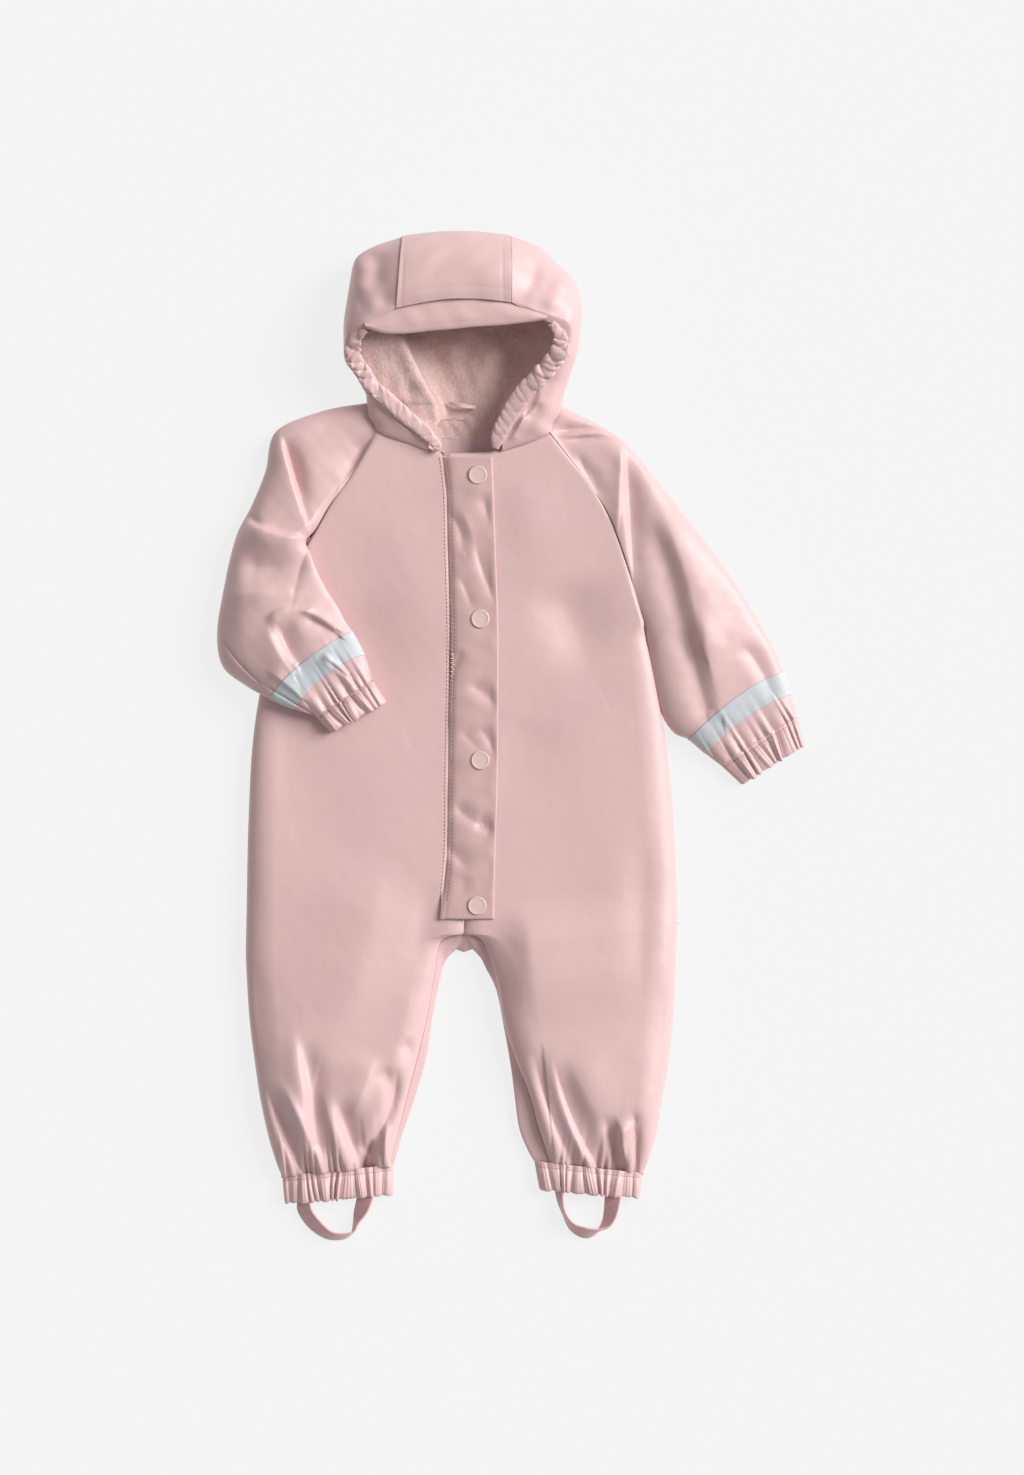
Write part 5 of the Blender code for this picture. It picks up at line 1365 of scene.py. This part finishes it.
# What shows inside the neck: each piece's upper and lower edge, and its finish.
NECK_PIECES = (("neck_band", 262.4, 239, "fleece"), ("neck_facing", 240.2, 214, "shell"))
NECK_TUCK = 17  # how far these go on under the neck's edges
NECK_ROWS, NECK_ACROSS = 26, 60
HANGER_WALL = 0.8


def lining(finish):
    """The fleece inside the hood, which comes down over the neck band at the wearer's right."""
    lines = []
    for row in LINING:
        wide = row.floor_right - row.floor_left
        lines.append([
            (row.left_x - 8, row.y, row.left_z - 0.5),
            ((row.left_x + row.fold_x) / 2, row.y, (row.left_z + row.fold_z) / 2 + 1),
            (row.fold_x, row.y, row.fold_z),
            (row.floor_left - 2, row.y, row.floor_z + 3),
            (row.floor_left + 0.25 * wide, row.y, row.floor_z),
            (row.floor_left + 0.7 * wide, row.y, row.floor_z),
            (row.floor_right, row.y, row.floor_z + 1),
            (row.floor_right + 0.7 * (row.right_x - row.floor_right), row.y,
             row.floor_z + 0.4 * (row.right_z - row.floor_z)),
            (row.right_x + 8, row.y, row.right_z - 0.5),
        ])
    lines.append([(x, y - 7 - 14 * min(max(-(x + 54) / 16, 0), 1), z) for x, y, z in lines[-1]])
    grid = finer(np.array(lines), LINING_ROWS, LINING_ACROSS)
    place = np.arange(LINING_ACROSS)
    inside = eased(place / 10) * eased(place[::-1] / 10)
    grid = creased(grid, CREASES_LINING, inside[None, :])
    grid[..., 2] += 0.5 * uneven(grid, 12, 4) * inside
    piece = cloth("hood_lining", "fleece", grid, NAP_WALL, finish["fleece"],
                  flip=True)
    cut(grid)


def neck(finish):
    """The fleece band and the facing inside the back of the neck, and the hanger loop."""
    share = np.linspace(0, 1, NECK_ACROSS)
    across = NECK_LEFT - NECK_TUCK + (NECK_RIGHT - NECK_LEFT + 2 * NECK_TUCK) * share
    height = NECK_Z + NECK_RISE * abs(2 * share - 1) ** 3
    for name, top, bottom, look in NECK_PIECES:
        grid = np.array([np.column_stack([across, np.full(NECK_ACROSS, y), height])
                         for y in np.linspace(top, bottom, NECK_ROWS)])
        pucker = gathers(share, 13, 6)[None, :] * np.exp(-np.arange(NECK_ROWS) / 5)[:, None]
        grid[..., 2] += 0.8 * pucker if look == "shell" else 0.4 * uneven(grid, 10, 12)
        piece = cloth(name, "cloth", grid, NAP_WALL, finish[look], flip=True)
        cut(grid)
    path = spread(HANGER, 40)
    grid = np.array([between(path[:, :3], path[:, 3:], share) for share in np.linspace(0, 1, 7)])
    cloth("hanger_loop", "tape", grid.swapaxes(0, 1), HANGER_WALL, finish["shell"], flip=True)


# ---------------------------------------------------------------- straps under the feet
STRAP_ROWS, STRAP_ACROSS = 130, 14


def stirrups(finish):
    """The elastic straps: flat bands that stand on their edges."""
    for name, table in STIRRUPS.items():
        rows = spread(table, STRAP_ROWS)
        low = np.column_stack([rows[:, :2], rows[:, 4]])
        high = np.column_stack([rows[:, 2:4], rows[:, 5]])
        out = np.cross(np.gradient((low + high) / 2, axis=0), high - low)
        out = unit(out) * STRAP_WALL / 2
        middle = [between(low, high, share) for share in np.linspace(0.04, 0.96, STRAP_ACROSS)]
        one, two = [line - out for line in middle], [line + out for line in middle[::-1]]
        loops = np.stack([low] + one + [high] + two, axis=1)
        loops[..., 2] = np.maximum(loops[..., 2], 0)
        tube(name, "band", loops, finish["elastic"])


# ---------------------------------------------------------------- stage
FLOOR_Z = -0.0006  # just below the lowest cloth
PAPER, PAPER_GLOW = "585858", 0.81
SUN_STRENGTH, SUN_ANGLE, SUN_TURN = 3.9, 34, (-20, 54, 0)  # angles in degrees
SKY_STRENGTH = 0.34
LENS, SENSOR = 100, 36
CAMERA_AT = (0.0004, -0.0008, 3.293)


def floor():
    """White paper that glows a little, as a cut-out's background does."""
    bm = bmesh.new()
    bmesh.ops.create_grid(bm, x_segments=1, y_segments=1, size=3)
    bmesh.ops.translate(bm, verts=bm.verts, vec=(0, 0, FLOOR_Z))
    mesh = bpy.data.meshes.new("floor")
    bm.to_mesh(mesh)
    bm.free()
    sheet = bpy.data.objects.new("floor", mesh)
    bpy.context.scene.collection.objects.link(sheet)
    paper = bpy.data.materials.new("white paper")
    paper.use_nodes = True
    shader = paper.node_tree.nodes["Principled BSDF"]
    shader.inputs["Base Color"].default_value = srgb(PAPER)
    shader.inputs["Emission Color"].default_value = (1, 1, 1, 1)
    shader.inputs["Emission Strength"].default_value = PAPER_GLOW
    shader.inputs["Roughness"].default_value = 0.9
    shader.inputs["Specular IOR Level"].default_value = 0.1
    mesh.materials.append(paper)


def stage():
    """The floor, a wide soft sun from the upper left, an even sky and the camera above."""
    floor()
    scene = bpy.context.scene
    sun = bpy.data.lights.new("key", "SUN")
    sun.energy = SUN_STRENGTH
    sun.angle = math.radians(SUN_ANGLE)
    lamp = bpy.data.objects.new("key", sun)
    lamp.rotation_euler = [math.radians(turn) for turn in SUN_TURN]
    scene.collection.objects.link(lamp)
    world = bpy.data.worlds.new("sky")
    world.use_nodes = True
    sky = world.node_tree.nodes["Background"]
    sky.inputs["Color"].default_value = (1, 1, 1, 1)
    sky.inputs["Strength"].default_value = SKY_STRENGTH
    scene.world = world
    lens = bpy.data.cameras.new("camera")
    lens.lens = LENS
    lens.sensor_width = SENSOR
    camera = bpy.data.objects.new("camera", lens)
    camera.location = CAMERA_AT
    scene.collection.objects.link(camera)
    scene.camera = camera
    scene.view_settings.view_transform = "Standard"


def main():
    """Builds every piece of the suit, and the stage round it."""
    finish = finishes()
    fronts = body(finish)
    sleeves(finish)
    cuffs(finish)
    face = flap(finish, fronts["right"])
    zip_strip(finish)
    snaps(finish, face)
    hood(finish)
    peak(finish)
    lining(finish)
    neck(finish)
    stirrups(finish)
    stage()


main()
